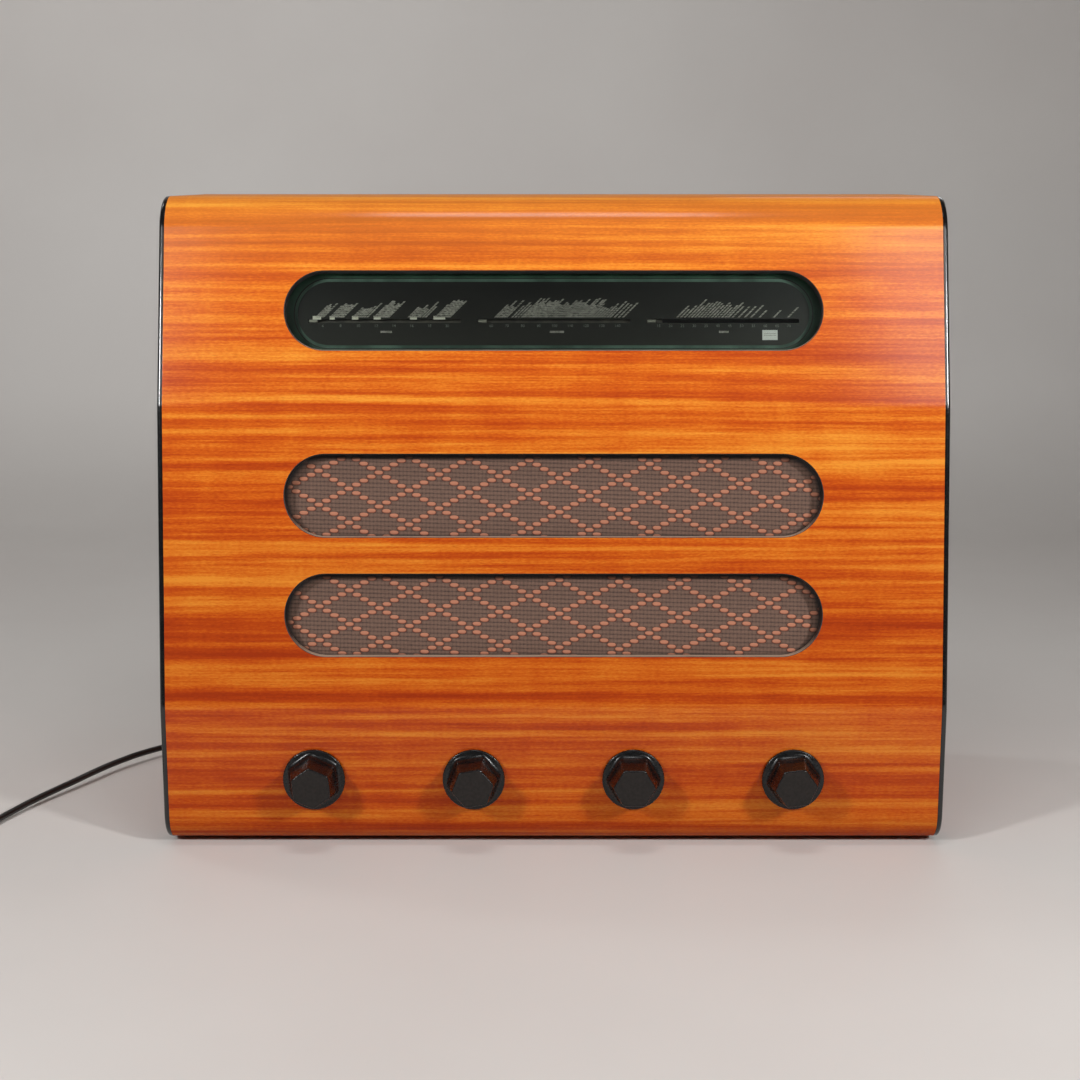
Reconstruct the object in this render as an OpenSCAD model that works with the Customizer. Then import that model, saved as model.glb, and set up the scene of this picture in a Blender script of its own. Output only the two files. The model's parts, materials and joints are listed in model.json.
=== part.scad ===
// Table radio with valves, in a cabinet of bent plywood. Millimetres, +Z up, the front faces -Y.
// "Behind the front" means measured back from the upright foot of the front panel.
// The origin is on the table, under the middle of the radio with its knobs.

/* [Cabinet] */
// Width over the two black edge beads
cab_w = 580; // [572:2:640]
// Height from the table to the top
cab_h = 478; // [474:1:510]
// Depth from the foot of the front panel to the back edge of the sides
cab_d = 245; // [242:1:300]
// Thickness of the bent plywood that makes the front and the top
wrap_t = 9; // [8:0.5:10]
// Thickness of the side panels
side_t = 12; // [9:1:13]
// Thickness of the base board
base_t = 9; // [8:1:12]
// Height of the felt feet
foot_h = 3; // [3:0.5:6]
// Diameter of the felt feet
foot_d = 26; // [18:1:30]
// Length of the front panel's lip under the cabinet
lip_b = 36; // [32:1:44]
// Width of a square glue batten
batten_w = 14; // [12:1:16]

/* [Front outline] */
// How far below the grille's middle the front starts to lean back
knee_low_drop = 112.5; // [110:0.5:115]
// How far above the grille's middle it starts to lean back further
knee_high_rise = 106.5; // [105:0.5:108]
// Lean of the grille part of the front, degrees
lean_low = 8; // [7:0.5:9]
// Lean of the dial part of the front, degrees
lean_high = 14.5; // [13:0.5:15]
// Radius of the two bends between the leans
knee_r = 60; // [45:1:70]
// Radius where the front rolls over into the top
top_r = 30; // [24:1:36]
// Radius where the front rolls under at the foot
toe_r = 22; // [16:1:24]

/* [Edge bead] */
// Width of the black bead along each edge of the front
bead_w = 4; // [3:0.5:6]
// How far the bead stands out past the side panel
bead_proud = 1; // [0.5:0.5:2]
// Rounding of the bead's outer edge
bead_r = 2.5; // [1:0.5:2.5]

/* [Slots] */
// Length of the dial slot and of the two speaker slots
slot_w = 394; // [370:2:400]
// Height of the dial slot
dial_slot_h = 58; // [50:1:60]
// Height of each speaker slot
slot_h = 60; // [50:1:62]
// Depth of the middle of the dial slot below the top
dial_drop = 82; // [80:1:84]
// Distance from one speaker slot to the other
slot_pitch = 87; // [80:1:92]
// How far the grille's middle lies below halfway from the knobs to the dial
grille_drop = 5.5; // [3:0.5:7]

/* [Knobs] */
// Height of the knobs' axes
knob_z = 54; // [52:1:56]
// Distance of the outer knobs' axes from the radio's two edges
knob_edge = 112.7; // [108:0.1:124]
// How far the knobs' faces stand out in front of the panel
knob_out = 24; // [20:0.5:28]
// Gap between a knob and the panel
knob_gap = 1; // [0.5:0.25:1.5]
// Diameter of the round skirt
skirt_d = 46; // [42:1:50]
// Thickness of the skirt at its middle
skirt_t = 5; // [4:0.5:6]
// Width across flats of the grip where it meets the skirt
grip_root_af = 32; // [30:0.5:36]
// Width across flats of the grip at its face
grip_face_af = 27.5; // [24:0.5:29]
// Diameter of the control spindles
spindle_d = 6; // [5:0.5:6.5]
// Hole in the panel for a spindle
spindle_hole_d = 10; // [8:0.5:12]
// Turn of the volume and tone controls, degrees
pot_turn = 300; // [270:5:330]

/* [Dial] */
// Length of each of the three scales, and travel of the pointers
scale_len = 105; // [96:1:108]
// Distance from scale to scale
scale_pitch = 125; // [120:1:128]
// Pointer line above the middle of the dial, along the glass
pointer_line = -5.5; // [-8:0.5:-2]
// Width of the dial glass
glass_w = 412; // [406:1:420]
// Height of the dial glass
glass_h = 72; // [66:1:74]
// Thickness of the dial glass
glass_t = 3; // [2:0.5:4]
// Thickness of the scale plate behind the glass
scale_t = 1; // [0.8:0.1:1.5]
// Height of the pointer windows in the scale plate
window_h = 3; // [2.5:0.5:4]
// Diameter of the two pointer rails
rail_d = 3; // [2.5:0.5:4]

/* [Speaker] */
// Outer diameter of the speaker frame
speaker_d = 190; // [170:2:196]
// Width of the baffle board
baffle_w = 430; // [416:2:440]
// Height of the baffle board
baffle_h = 198; // [190:1:202]
// Thickness of the baffle board
baffle_t = 10; // [8:1:12]
// Thickness of the grille cloth
cloth_t = 0.8; // [0.6:0.1:1]
// Diameter of the magnet
magnet_d = 80; // [70:1:90]

/* [Chassis] */
// Room between the chassis and the back cover
chassis_room = 23; // [20:1:28]
// Height of the chassis
chassis_h = 65; // [63:1:70]
// Thickness of the chassis sheet
sheet_t = 1.5; // [1:0.25:2]
// Diameter of the valve sockets
socket_d = 38; // [34:1:40]
// Diameter of the valve bases
valve_base_d = 32; // [28:1:34]
// Diameter of the valve bulbs
valve_d = 40; // [34:1:44]
// Height of the valve bulbs above their bases
valve_h = 84; // [70:1:100]

/* [Tuning drive] */
// Turn of the tuning capacitor from end to end, degrees
gang_turn = 180; // [175:1:185]
// Radius at which the drive cord runs round the tuning spindle
hub_r = 5; // [4:0.5:6]
// Radius at which the drive cord runs round the pulleys
pulley_r = 8; // [7:0.5:9]
// Diameter of the drive cord
line_d = 1.2; // [0.8:0.1:1.4]
// Distance of the drive cord behind the middle of the dial slot
line_depth = 26; // [25.5:0.5:28]
// Distance from the drive cord back to the chassis
line_room = 10; // [9.5:0.5:12]
// Radius of the tuning capacitor's moving plates
vane_r = 26; // [22:1:28]
// Number of moving plates
vane_n = 12; // [6:1:13]

/* [Back] */
// Thickness of the back cover
cover_t = 3; // [2:0.5:4]
// Depth of the back cover inside the sides' back edge
cover_inset = 4; // [2:0.5:6]
// Length of a vent slot
vent_w = 44; // [30:1:50]
// Height of a vent slot
vent_h = 6; // [4:0.5:8]

/* [Mains lead] */
// Diameter of the flex
cord_d = 5; // [5:0.1:5.4]
// Distance from turn to turn in the coil
coil_pitch = 5.6; // [5.5:0.05:5.8]
// Radius of the innermost turn of the coil
coil_r = 20; // [19.5:0.1:20.5]
// Turns in each of the coil's two layers
coil_turns = 3.5; // [1.5:1:5.5]
// Largest radius of the plug
plug_r = 14; // [12:0.5:14]
// Length of the plug's body
plug_l = 38; // [30:1:44]

/* [Hidden] */
$fn = 64;
fit = 0.05;                   // radial clearance of a shaft in its hole
slack = 0.3;                  // clearance between pieces that only pass each other
front_y = (knob_out - cab_d) / 2;
wrap_half = cab_w / 2 - bead_w;
side_out = cab_w / 2 - bead_proud;
side_in = side_out - side_t;
floor_z = foot_h + base_t;
roof_z = cab_h - wrap_t;
dial_z = cab_h - dial_drop;
grille_z = (knob_z + dial_z) / 2 - grille_drop;
slot_high_z = grille_z + slot_pitch / 2;
slot_low_z = grille_z - slot_pitch / 2;
knee_low_z = grille_z - knee_low_drop;
knee_high_z = grille_z + knee_high_rise;
knob_pitch = (cab_w - 2 * knob_edge) / 3;
high_b = (knee_high_z - knee_low_z) * tan(lean_low);
top_b = high_b + (cab_h - knee_high_z) * tan(lean_high);
cover_b = cab_d - cover_inset - cover_t;
function knob_x(i) = (i - 1.5) * knob_pitch;

// The front outline is four straight runs joined by arcs. Each run has a heading, in degrees
// from straight back, and the path turns clockwise at each corner.
headings = [180, 90, 90 - lean_low, 90 - lean_high, 0];
corners = [[0, foot_h], [0, knee_low_z], [high_b, knee_high_z], [top_b, cab_h]];
radii = [toe_r, knee_r, knee_r, top_r];
last = len(corners) - 1;
function dir(a) = [cos(a), sin(a)];
function bend(i) = headings[i] - headings[i + 1];
function arc_centre(i) = corners[i] + radii[i] / cos(bend(i) / 2) * dir((headings[i] + headings[i + 1]) / 2 - 90);
// Points along the outline from the lip's edge to the back edge of the top, at depth t inside it
arc_step = 5;
function arc_points(i, t) = let (n = ceil(bend(i) / arc_step))
  [for (k = [0 : n]) arc_centre(i) + (radii[i] - t) * dir(headings[i] + 90 - bend(i) * k / n)];
function outline_points(t) = concat(
  [[lip_b, foot_h + t]],
  [for (i = [0 : last]) each arc_points(i, t)],
  [[cab_d, cab_h - t]]);
function backwards(list) = [for (i = [len(list) - 1 : -1 : 0]) list[i]];
// How far the front panel lies behind its foot at height z
function face_b(z) =
  z > knee_high_z ? high_b + (z - knee_high_z) * tan(lean_high) :
  z > knee_low_z ? (z - knee_low_z) * tan(lean_low) : 0;

// Dial: places measured in from the face and up along it, from the middle of the dial slot
glass_y = wrap_t + 0.2;
scale_y = glass_y + glass_t + 0.1;
behind_scale = scale_y + scale_t;
pointer_y = behind_scale + 3;
pointer_t = 1.2;
rail_y = pointer_y + pointer_t + 4;
rail_z = 12;
pointer_w = 6;
pointer_h = window_h - 1;
// Turns a place given behind the front and in height into one in the dial's leaning frame
function to_dial(b, z) = let (db = b - face_b(dial_z), dz = z - dial_z)
  [db * cos(lean_high) - dz * sin(lean_high), db * sin(lean_high) + dz * cos(lean_high)];

// Tuning drive, all in one upright plane across the radio
line_b = face_b(dial_z) + line_depth;
chassis_b = line_b + line_room;
drum_r = scale_len * 180 / (PI * gang_turn);
drum_gap = 10.3;              // from the drum's path across to the cord that runs up beside it
gang_x = knob_x(3) - hub_r + drum_r + drum_gap;
gang_z = floor_z + chassis_h + 43;
pulley_z = dial_z - 10;
run_z = pulley_z + pulley_r;
pulley_left = [-195, pulley_z];
pulley_upper = [gang_x + drum_r - pulley_r, pulley_z];
pulley_lower = [knob_x(3) - hub_r - pulley_r, pulley_z - 2 * pulley_r];
pulley_t = 5;
rim_h = 2;                    // height of a pulley's rim above the cord's path
clip_at = to_dial(line_b, run_z);

// Dial bracket
bracket_b = line_b + 21;
bracket_t = 1.2;
bracket_half = side_in - 22;
tab_x = bracket_half - 20;
tab_z = 52;
bracket_low_z = dial_z - 44;
bracket_high_z = dial_z + 44;
ear_x = 222;
pin_d = 4;
lamp_xs = [-100, 100];
lamp_b = line_b + 9;

// Speaker, measured in from the face and up along it, from halfway between its slots
cloth_y = wrap_t + 0.2;
baffle_y = cloth_y + cloth_t + 0.2;
speaker_y = baffle_y + baffle_t;
speaker_rim = 10;
cone_d = speaker_d - 2 * speaker_rim;
basket_depth = 52;
basket_t = 1.5;
bolt_d = 4;
speaker_bolt_r = speaker_d / 2 - speaker_rim / 2;

// Chassis
chassis_x = [45 - side_in, side_in - 19];
chassis_d = cover_b - chassis_room - chassis_b;
chassis_top = floor_z + chassis_h;
flange_w = 12;
chassis_bolt_d = 5;
chassis_bolt_xs = [chassis_x[0] + 30, 20, chassis_x[1] - 30];
chassis_bolt_bs = [chassis_b + flange_w / 2, chassis_b + chassis_d - flange_w / 2];
valve_hole_d = 28;
socket_t = 4;
valve_base_h = 26;
bush_d = 9.4;

// Tuning capacitor
gang_b = chassis_b + 12;
gang_l = 64;
gang_w = 70;
gang_plate_t = 2;
gang_foot = 7;
vane_t = 0.6;
vane_pitch = (gang_l - 2 * gang_plate_t - 12) / vane_n;
shaft_d = 6;
collar_r = 7;

// Mains transformer
core_size = [84, 42, 70];
core_at = [chassis_x[0] + 52, chassis_b + chassis_d - 50];
limb_w = 28;
core_window = [14, 42];

// Rows on the chassis: valves with the smoothing capacitor among them, and coil cans in front
back_row_b = chassis_b + chassis_d - 29;
back_row_0 = core_at[0] + core_size[0] / 2 + 26;
back_row_5 = chassis_x[1] - 108;
function back_row_x(k) = back_row_0 + (back_row_5 - back_row_0) * k / 5;
valve_xs = [for (k = [0, 1, 3, 4, 5]) back_row_x(k)];
capacitor_d = 35;
capacitor_h = 74;
can_w = 34;
can_h = 76;
can_xs = [gang_x - 146, gang_x - 88];
front_row_b = back_row_b - 46;

// Back cover and lead
cord_x = -170;
cord_z = 40;
relief_l = 28;
relief_flange_r = 9;
relief_neck_r = 6;
terminal_at = [60, 46];
terminal_window = [54, 26];
screw_d = 3.5;
screw_l = 12;
bracket_screw_l = bracket_t + 6;
cover_screws = [
  for (x = [-1, 1]) for (z = [floor_z + 60, (floor_z + roof_z) / 2, roof_z - 60])
    [x * (side_in - batten_w / 2), z]];

// Coil: two flat spirals, the lower one wound in and the upper one wound out again
coil_at = [-480, -102.5];
coil_out_r = coil_r + coil_pitch * coil_turns;
tie_t = 0.8;
coil_z = cord_d / 2 + tie_t + 0.1;
coil_top_z = coil_z + coil_pitch;
coil_all = 2 * coil_turns + 0.5;
ring_n = 24;
function smooth(s) = s * s * (3 - 2 * s);
function coil_radius(t) =
  t < coil_turns ? coil_out_r - coil_pitch * t :
  t < coil_turns + 0.5 ? coil_r - coil_pitch * ((t - coil_turns) - 2 * pow(t - coil_turns, 2)) :
  coil_r + coil_pitch * (t - coil_turns - 0.5);
function coil_height(t) = coil_z + coil_pitch * smooth(min(1, max(0, (t - coil_turns) / 0.5)));
function coil_point(t) = [
  coil_at[0] + coil_radius(t) * cos(-360 * t), coil_at[1] + coil_radius(t) * sin(-360 * t), coil_height(t)];
coil_path = concat(
  [coil_point(0) + [0, cord_d, 0]],
  [for (i = [0 : coil_all * ring_n]) coil_point(i / ring_n)],
  [coil_point(coil_all) + [0, cord_d, 0]]);
coil_gap = min([
  for (i = [1 : len(coil_path) - 2]) for (j = [i + ring_n / 2 : 1 : len(coil_path) - 2])
    norm(coil_path[i] - coil_path[j])]) - cord_d;

// Route of the lead from the cabinet to the coil, chosen by hand
cord_route = [
  [-170, 160.5, 40], [-170, 166.5, 40], [-171.5, 178.5, 38.5], [-176, 189, 36], [-183, 198.5, 32.5],
  [-192.5, 205.5, 28.5], [-203.5, 210, 24.5], [-215, 211.5, 21], [-226.5, 210, 18], [-237.5, 205.5, 15.5],
  [-247, 198.5, 13.5], [-257, 188.5, 12], [-267, 178.5, 11], [-277, 168.5, 10.5], [-287, 158.5, 10],
  [-297, 148.5, 9.8], [-307, 138.5, 9.5], [-317, 128.5, 9.3], [-327, 118.5, 9.1], [-337, 108.5, 9],
  [-346.5, 98.5, 8.8], [-355.5, 88, 8.5], [-363.5, 77, 8], [-371, 65.5, 7.6], [-378, 53, 7.2],
  [-384.5, 40, 6.8], [-391, 26.5, 6.4], [-398, 13.5, 5.9], [-405, 0.5, 5.3], [-411.5, -12.5, 4.8],
  [-417.5, -25.5, 4.3], [-423, -38.5, 3.8], [-428, -51.5, 3.5], [-432.5, -64, 3.4], [-436, -75, 3.4],
  [-438.8, -84, 3.4], [-440.4, -91.5, 3.4], [-440.4, -97.5, 3.4]];
// Route of the short end from the coil to the plug
tail_route = [
  [-519.6, -97.5, 9], [-519.6, -91.5, 9], [-519.6, -85, 10], [-519.6, -79, 12],
  [-519.6, -73, 13.8], [-519.6, -66, 14], [-519.6, -60, 14]];
plug_end = tail_route[len(tail_route) - 1];

echo(coil_least_gap = coil_gap);

// Colours
wood_c = "#c8641e";
raw_wood_c = "#b98a52";
black_c = "#1c1a19";
knob_c = "#2a2624";
steel_c = "#9a9ca0";
brass_c = "#b08d4a";
paper_c = "#3a342e";
cloth_c = "#76665c";
glass_c = "#a8c0b8";

// Places

// Children are drawn from x, a distance behind the front, and a height
module at(x, b, z) {
  translate([x, front_y + b, z]) children();
}

// Children are drawn in the frame of the leaning face: +Y inward, +Z up along the face
module at_face(z, lean) {
  at(0, face_b(z), z) rotate([-lean, 0, 0]) children();
}

module at_dial() {
  at_face(dial_z, lean_high) children();
}

module at_grille() {
  at_face(grille_z, lean_low) children();
}

// A flat outline of [behind the front, height] is drawn upright, and its thickness runs along +X
module in_profile(x) {
  at(x, 0, 0) rotate([90, 0, 90]) children();
}

// A round bar along the depth, from one distance to another behind the place it is drawn at
module bar(b0, b1, d) {
  translate([0, b0, 0]) rotate([-90, 0, 0]) cylinder(d = d, h = b1 - b0);
}

// A hexagon nut or bar along the depth
module hex_bar(b0, b1, af) {
  translate([0, b0, 0]) rotate([-90, 0, 0]) cylinder(d = af / cos(30), h = b1 - b0, $fn = 6);
}

// A box given by two corners
module box(low, high) {
  translate(low) cube(high - low);
}

module stadium(w, h) {
  square([w - h, h], center = true);
  for (s = [-1, 1]) translate([s * (w - h) / 2, 0]) circle(d = h);
}

module rounded_square(size, r) {
  square([size[0] - 2 * r, size[1]], center = true);
  square([size[0], size[1] - 2 * r], center = true);
  for (x = [-1, 1]) for (y = [-1, 1]) translate([x * (size[0] / 2 - r), y * (size[1] / 2 - r)]) circle(r);
}

// A skin over a list of rings with as many points each. A closed one runs on from its last ring to
// its first, and an open one has flat ends.
module skin(rings, closed = false) {
  n = len(rings);
  sides = len(rings[0]);
  walls = [for (i = [0 : n - (closed ? 1 : 2)]) for (k = [0 : sides - 1])
    let (a = i * sides, b = (i + 1) % n * sides, k2 = (k + 1) % sides)
    each [[a + k, b + k, b + k2], [a + k, b + k2, a + k2]]];
  ends = closed ? [] : [[for (k = [0 : sides - 1]) k], [for (k = [sides - 1 : -1 : 0]) (n - 1) * sides + k]];
  polyhedron([for (r = rings) each r], concat(walls, ends));
}

// One tube along a list of points. No step of it may run along the side direction.
module tube(path, r, sides, across = [0, 0, 1], closed = false) {
  n = len(path);
  function before(i) = closed ? path[(i + n - 1) % n] : path[max(i - 1, 0)];
  function after(i) = closed ? path[(i + 1) % n] : path[min(i + 1, n - 1)];
  function ring(i) = let (
      t = (after(i) - before(i)) / norm(after(i) - before(i)),
      s = cross(t, across) / norm(cross(t, across)),
      u = cross(s, t))
    [for (k = [0 : sides - 1]) path[i] + r * (cos(90 + k * 360 / sides) * s + sin(90 + k * 360 / sides) * u)];
  skin([for (i = [0 : n - 1]) ring(i)], closed);
}

// Cabinet

module slot_cut(z, lean, h) {
  at_face(z, lean) rotate([90, 0, 0]) linear_extrude(4 * wrap_t, center = true) stadium(slot_w, h);
}

// One sheet: it rolls under at the foot, leans back in two steps and rolls over into the top
module front_wrap() {
  color(wood_c) difference() {
    in_profile(-wrap_half) linear_extrude(2 * wrap_half)
      polygon(concat(outline_points(0), backwards(outline_points(wrap_t))));
    slot_cut(dial_z, lean_high, dial_slot_h);
    slot_cut(slot_high_z, lean_low, slot_h);
    slot_cut(slot_low_z, lean_low, slot_h);
    for (i = [0 : 3]) at(knob_x(i), 0, knob_z) bar(-1, wrap_t + 1, spindle_hole_d);
    bracket_screw_places() bar(-bracket_screw_l - slack, 1, screw_d + 2 * fit);
  }
}

// The panel fills the sheet's hollow side, and its foot stands level with the base board
module side_panel(x) {
  color(wood_c) in_profile(x) linear_extrude(side_t)
    polygon(concat([[cab_d, foot_h], [lip_b, foot_h]], outline_points(wrap_t)));
}

module side_right() {
  side_panel(side_in);
}

module side_left() {
  side_panel(-side_out);
}

// The bead is swept along the outline. Its section is as deep as the sheet, and its outer edge is
// rounded: each point of it has a depth inside the outline and a distance sideways.
module bead() {
  edge = [for (a = [0 : 22.5 : 90]) [bead_r * (1 - cos(a)), bead_w - bead_r * (1 - sin(a))]];
  section = concat([[wrap_t, 0], [0, 0]], edge, [[wrap_t, bead_w]]);
  paths = [for (p = section) outline_points(p[0])];
  skin([for (i = [0 : len(paths[0]) - 1])
    [for (k = [0 : len(section) - 1]) [section[k][1], front_y + paths[k][i][0], paths[k][i][1]]]]);
}

module edge_bead_right() {
  color(black_c) translate([wrap_half, 0, 0]) bead();
}

module edge_bead_left() {
  color(black_c) mirror([1, 0, 0]) translate([wrap_half, 0, 0]) bead();
}

module base_board() {
  color(raw_wood_c) difference() {
    at(0, 0, 0) box([-side_in, lip_b, foot_h], [side_in, cab_d, floor_z]);
    for (x = chassis_bolt_xs) for (b = chassis_bolt_bs)
      at(x, b, foot_h - 1) cylinder(d = chassis_bolt_d + slack, h = base_t + 2);
  }
}

module feet() {
  color(black_c) for (x = [-1, 1]) for (b = [lip_b + 6 + foot_d / 2, cab_d - 8 - foot_d / 2])
    at(x * (side_in - 8 - foot_d / 2), b, 0) cylinder(d = foot_d, h = foot_h);
}

// Square strips glued into the corners, and the ones that carry the back cover
module cabinet_battens() {
  strip_x = side_in - batten_w;
  joint_z = foot_h + max(base_t, wrap_t);
  color(raw_wood_c) difference() {
    union() {
      at(0, 0, joint_z) box([-strip_x, lip_b - 12, 0], [strip_x, lip_b + 16, batten_w]);
      for (x = [-side_in, strip_x]) {
        at_grille() box([x, wrap_t, -90], [x + batten_w, wrap_t + batten_w, 90]);
        at_dial() box([x, wrap_t, -55], [x + batten_w, wrap_t + batten_w, 50]);
        at(x, cover_b - batten_w, floor_z) cube([batten_w, batten_w, roof_z - floor_z]);
      }
      at(0, cover_b - batten_w, roof_z - batten_w) box([-strip_x, 0, 0], [strip_x, batten_w, batten_w]);
      at(0, cover_b - batten_w, floor_z) box([-strip_x, 0, 0], [strip_x, batten_w, batten_w]);
    }
    for (p = cover_screws) at(p[0], cover_b, p[1]) bar(-screw_l, 1, screw_d + 2 * fit);
  }
}

// Back

module vents(columns, rows, z) {
  for (i = [0 : columns - 1]) for (j = [0 : rows - 1])
    at((i - (columns - 1) / 2) * (vent_w + 14), cover_b, z - j * (vent_h + 10))
      rotate([90, 0, 0]) linear_extrude(4 * cover_t, center = true) stadium(vent_w, vent_h);
}

module back_cover() {
  color("#6b4a30") difference() {
    at(0, cover_b, 0) box([-side_in + slack, 0, floor_z + slack], [side_in - slack, cover_t, roof_z - slack]);
    vents(7, 5, roof_z - 60);
    vents(7, 4, floor_z + 180);
    at(cord_x, cover_b, cord_z) bar(-1, cover_t + 1, 2 * (relief_neck_r + fit));
    at(terminal_at[0], cover_b, terminal_at[1]) rotate([90, 0, 0])
      linear_extrude(4 * cover_t, center = true) rounded_square(terminal_window, 4);
    for (p = cover_screws) at(p[0], cover_b, p[1]) bar(-1, cover_t + 1, screw_d + slack);
  }
}

// A round-head wood screw, driven along -Y from the face it is drawn at
module wood_screw(l) {
  difference() {
    union() {
      bar(-l, 0, screw_d);
      bar(0, 1, 7.5);
      translate([0, 1, 0]) rotate([-90, 0, 0]) cylinder(d1 = 7.5, d2 = 4.5, h = 1.2);
    }
    translate([0, 2.2, 0]) cube([9, 1.6, 1], center = true);
  }
}

module wood_screws() {
  color(brass_c) for (p = cover_screws) at(p[0], cover_b + cover_t, p[1]) wood_screw(screw_l);
  color(brass_c) bracket_screw_places() wood_screw(bracket_screw_l);
}

module terminal_panel() {
  w = 50;
  h = 22;
  at(terminal_at[0], chassis_b + chassis_d, terminal_at[1]) {
    color(paper_c) box([-w / 2, 0, -h / 2], [w / 2, 3, h / 2]);
    color(brass_c) for (x = [-16, -5.5, 5.5, 16]) translate([x, 0, 0]) {
      bar(3, 12, 3);
      bar(4.5, 9.5, 8);
    }
  }
}

module strain_relief() {
  r = cord_d / 2;
  start = cover_t + 2;
  color(black_c) at(cord_x, cover_b, cord_z) rotate([-90, 0, 0]) rotate_extrude() polygon([
    [0, -2], [relief_flange_r, -2], [relief_flange_r, 0], [relief_neck_r, 0], [relief_neck_r, cover_t],
    [relief_flange_r, cover_t], [relief_flange_r - 0.5, start], [relief_neck_r, start],
    [relief_neck_r - 0.6, start + relief_l * 0.4], [r + 1, start + relief_l - 1],
    [r + 0.4, start + relief_l], [0, start + relief_l]]);
}

// Speaker

module speaker_bolt_places() {
  at_grille() for (a = [45 : 90 : 315])
    translate([speaker_bolt_r * cos(a), 0, speaker_bolt_r * sin(a)]) children();
}

module baffle_board() {
  color(raw_wood_c) difference() {
    at_grille() box([-baffle_w / 2, baffle_y, -baffle_h / 2], [baffle_w / 2, speaker_y, baffle_h / 2]);
    at_grille() bar(baffle_y - 1, speaker_y + 1, cone_d);
    speaker_bolt_places() bar(baffle_y - 1, speaker_y + 1, bolt_d + 2 * fit);
  }
}

module grille_cloth() {
  spread = (slot_high_z - slot_low_z) / cos(lean_low) + slot_h + 20;
  color(cloth_c) at_grille()
    box([-slot_w / 2 - 10, cloth_y, -spread / 2], [slot_w / 2 + 10, cloth_y + cloth_t, spread / 2]);
}

// Children turn about the speaker's axis, with +Z pointing back into the cabinet
module speaker_axis() {
  at_grille() translate([0, speaker_y, 0]) rotate([-90, 0, 0]) children();
}

module speaker_frame() {
  r1 = cone_d / 2;
  r2 = magnet_d / 2 - 6;
  color(steel_c) difference() {
    speaker_axis() rotate_extrude($fn = 96) polygon([
      [r1 - 2, 0], [speaker_d / 2, 0], [speaker_d / 2, basket_t], [r1 + 1, basket_t],
      [r2 + 6, basket_depth - basket_t], [r2 + 6, basket_depth], [12, basket_depth],
      [12, basket_depth - basket_t], [r2 + 4, basket_depth - basket_t], [r1 - 2, basket_t]]);
    speaker_axis() for (a = [0 : 60 : 300]) rotate(a)
      translate([r2 + 14, -16, 8]) cube([r1, 32, basket_depth - 20]);
    speaker_bolt_places() bar(speaker_y - 1, speaker_y + basket_t + 1, bolt_d + 2 * fit);
  }
}

module speaker_cone() {
  r1 = cone_d / 2 - 3;
  t = 0.8;
  color(paper_c) speaker_axis() rotate_extrude($fn = 96) polygon([
    [r1 - 5, 0.4], [r1, 0.4], [r1, 0.4 + t], [r1 - 4, 0.4 + t], [22, 40 + t], [19, 40 + t],
    [19, basket_depth - 4], [18, basket_depth - 4], [18, 40 + t], [10, 37], [0, 35.5], [0, 34.5],
    [10, 36], [19, 39]]);
}

module speaker_magnet() {
  color("#55565a") speaker_axis() translate([0, 0, basket_depth]) {
    cylinder(d = magnet_d, h = 5);
    translate([0, 0, 5]) cylinder(d = magnet_d - 8, h = 26);
    translate([0, 0, 31]) cylinder(d = magnet_d, h = 5);
  }
}

module speaker_bolts() {
  color(steel_c) speaker_bolt_places() {
    bar(baffle_y + 0.2, speaker_y + basket_t + 5, bolt_d);
    hex_bar(speaker_y + basket_t, speaker_y + basket_t + 3, 7);
  }
}

module output_transformer() {
  color("#4a4744") at(-60, front_row_b, chassis_top) {
    box([-27, -14, 0], [27, 14, 44]);
    box([-17, -21, 8], [17, 21, 36]);
    for (s = [-1, 1]) box([min(27 * s, 37 * s), -7, 0], [max(27 * s, 37 * s), 7, 1.5]);
  }
}

// Dial

module dial_glass() {
  color(glass_c, 0.5) at_dial()
    box([-glass_w / 2, glass_y, -glass_h / 2], [glass_w / 2, glass_y + glass_t, glass_h / 2]);
}

// A plate with three windows that the pointers run in
module dial_scale() {
  color(black_c) at_dial() difference() {
    box([-glass_w / 2, scale_y, -glass_h / 2], [glass_w / 2, behind_scale, glass_h / 2]);
    for (i = [-1 : 1]) translate([i * scale_pitch, scale_y, pointer_line])
      cube([scale_len + pointer_w + 2, 4 * scale_t, window_h], center = true);
  }
}

module bracket_screw_places() {
  at_dial() for (x = [-tab_x, tab_x]) for (z = [-tab_z, tab_z])
    translate([x, wrap_t + fit + bracket_t, z]) children();
}

module pulley_places(list) {
  for (p = list) at(p[0], 0, p[1]) children();
}

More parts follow.
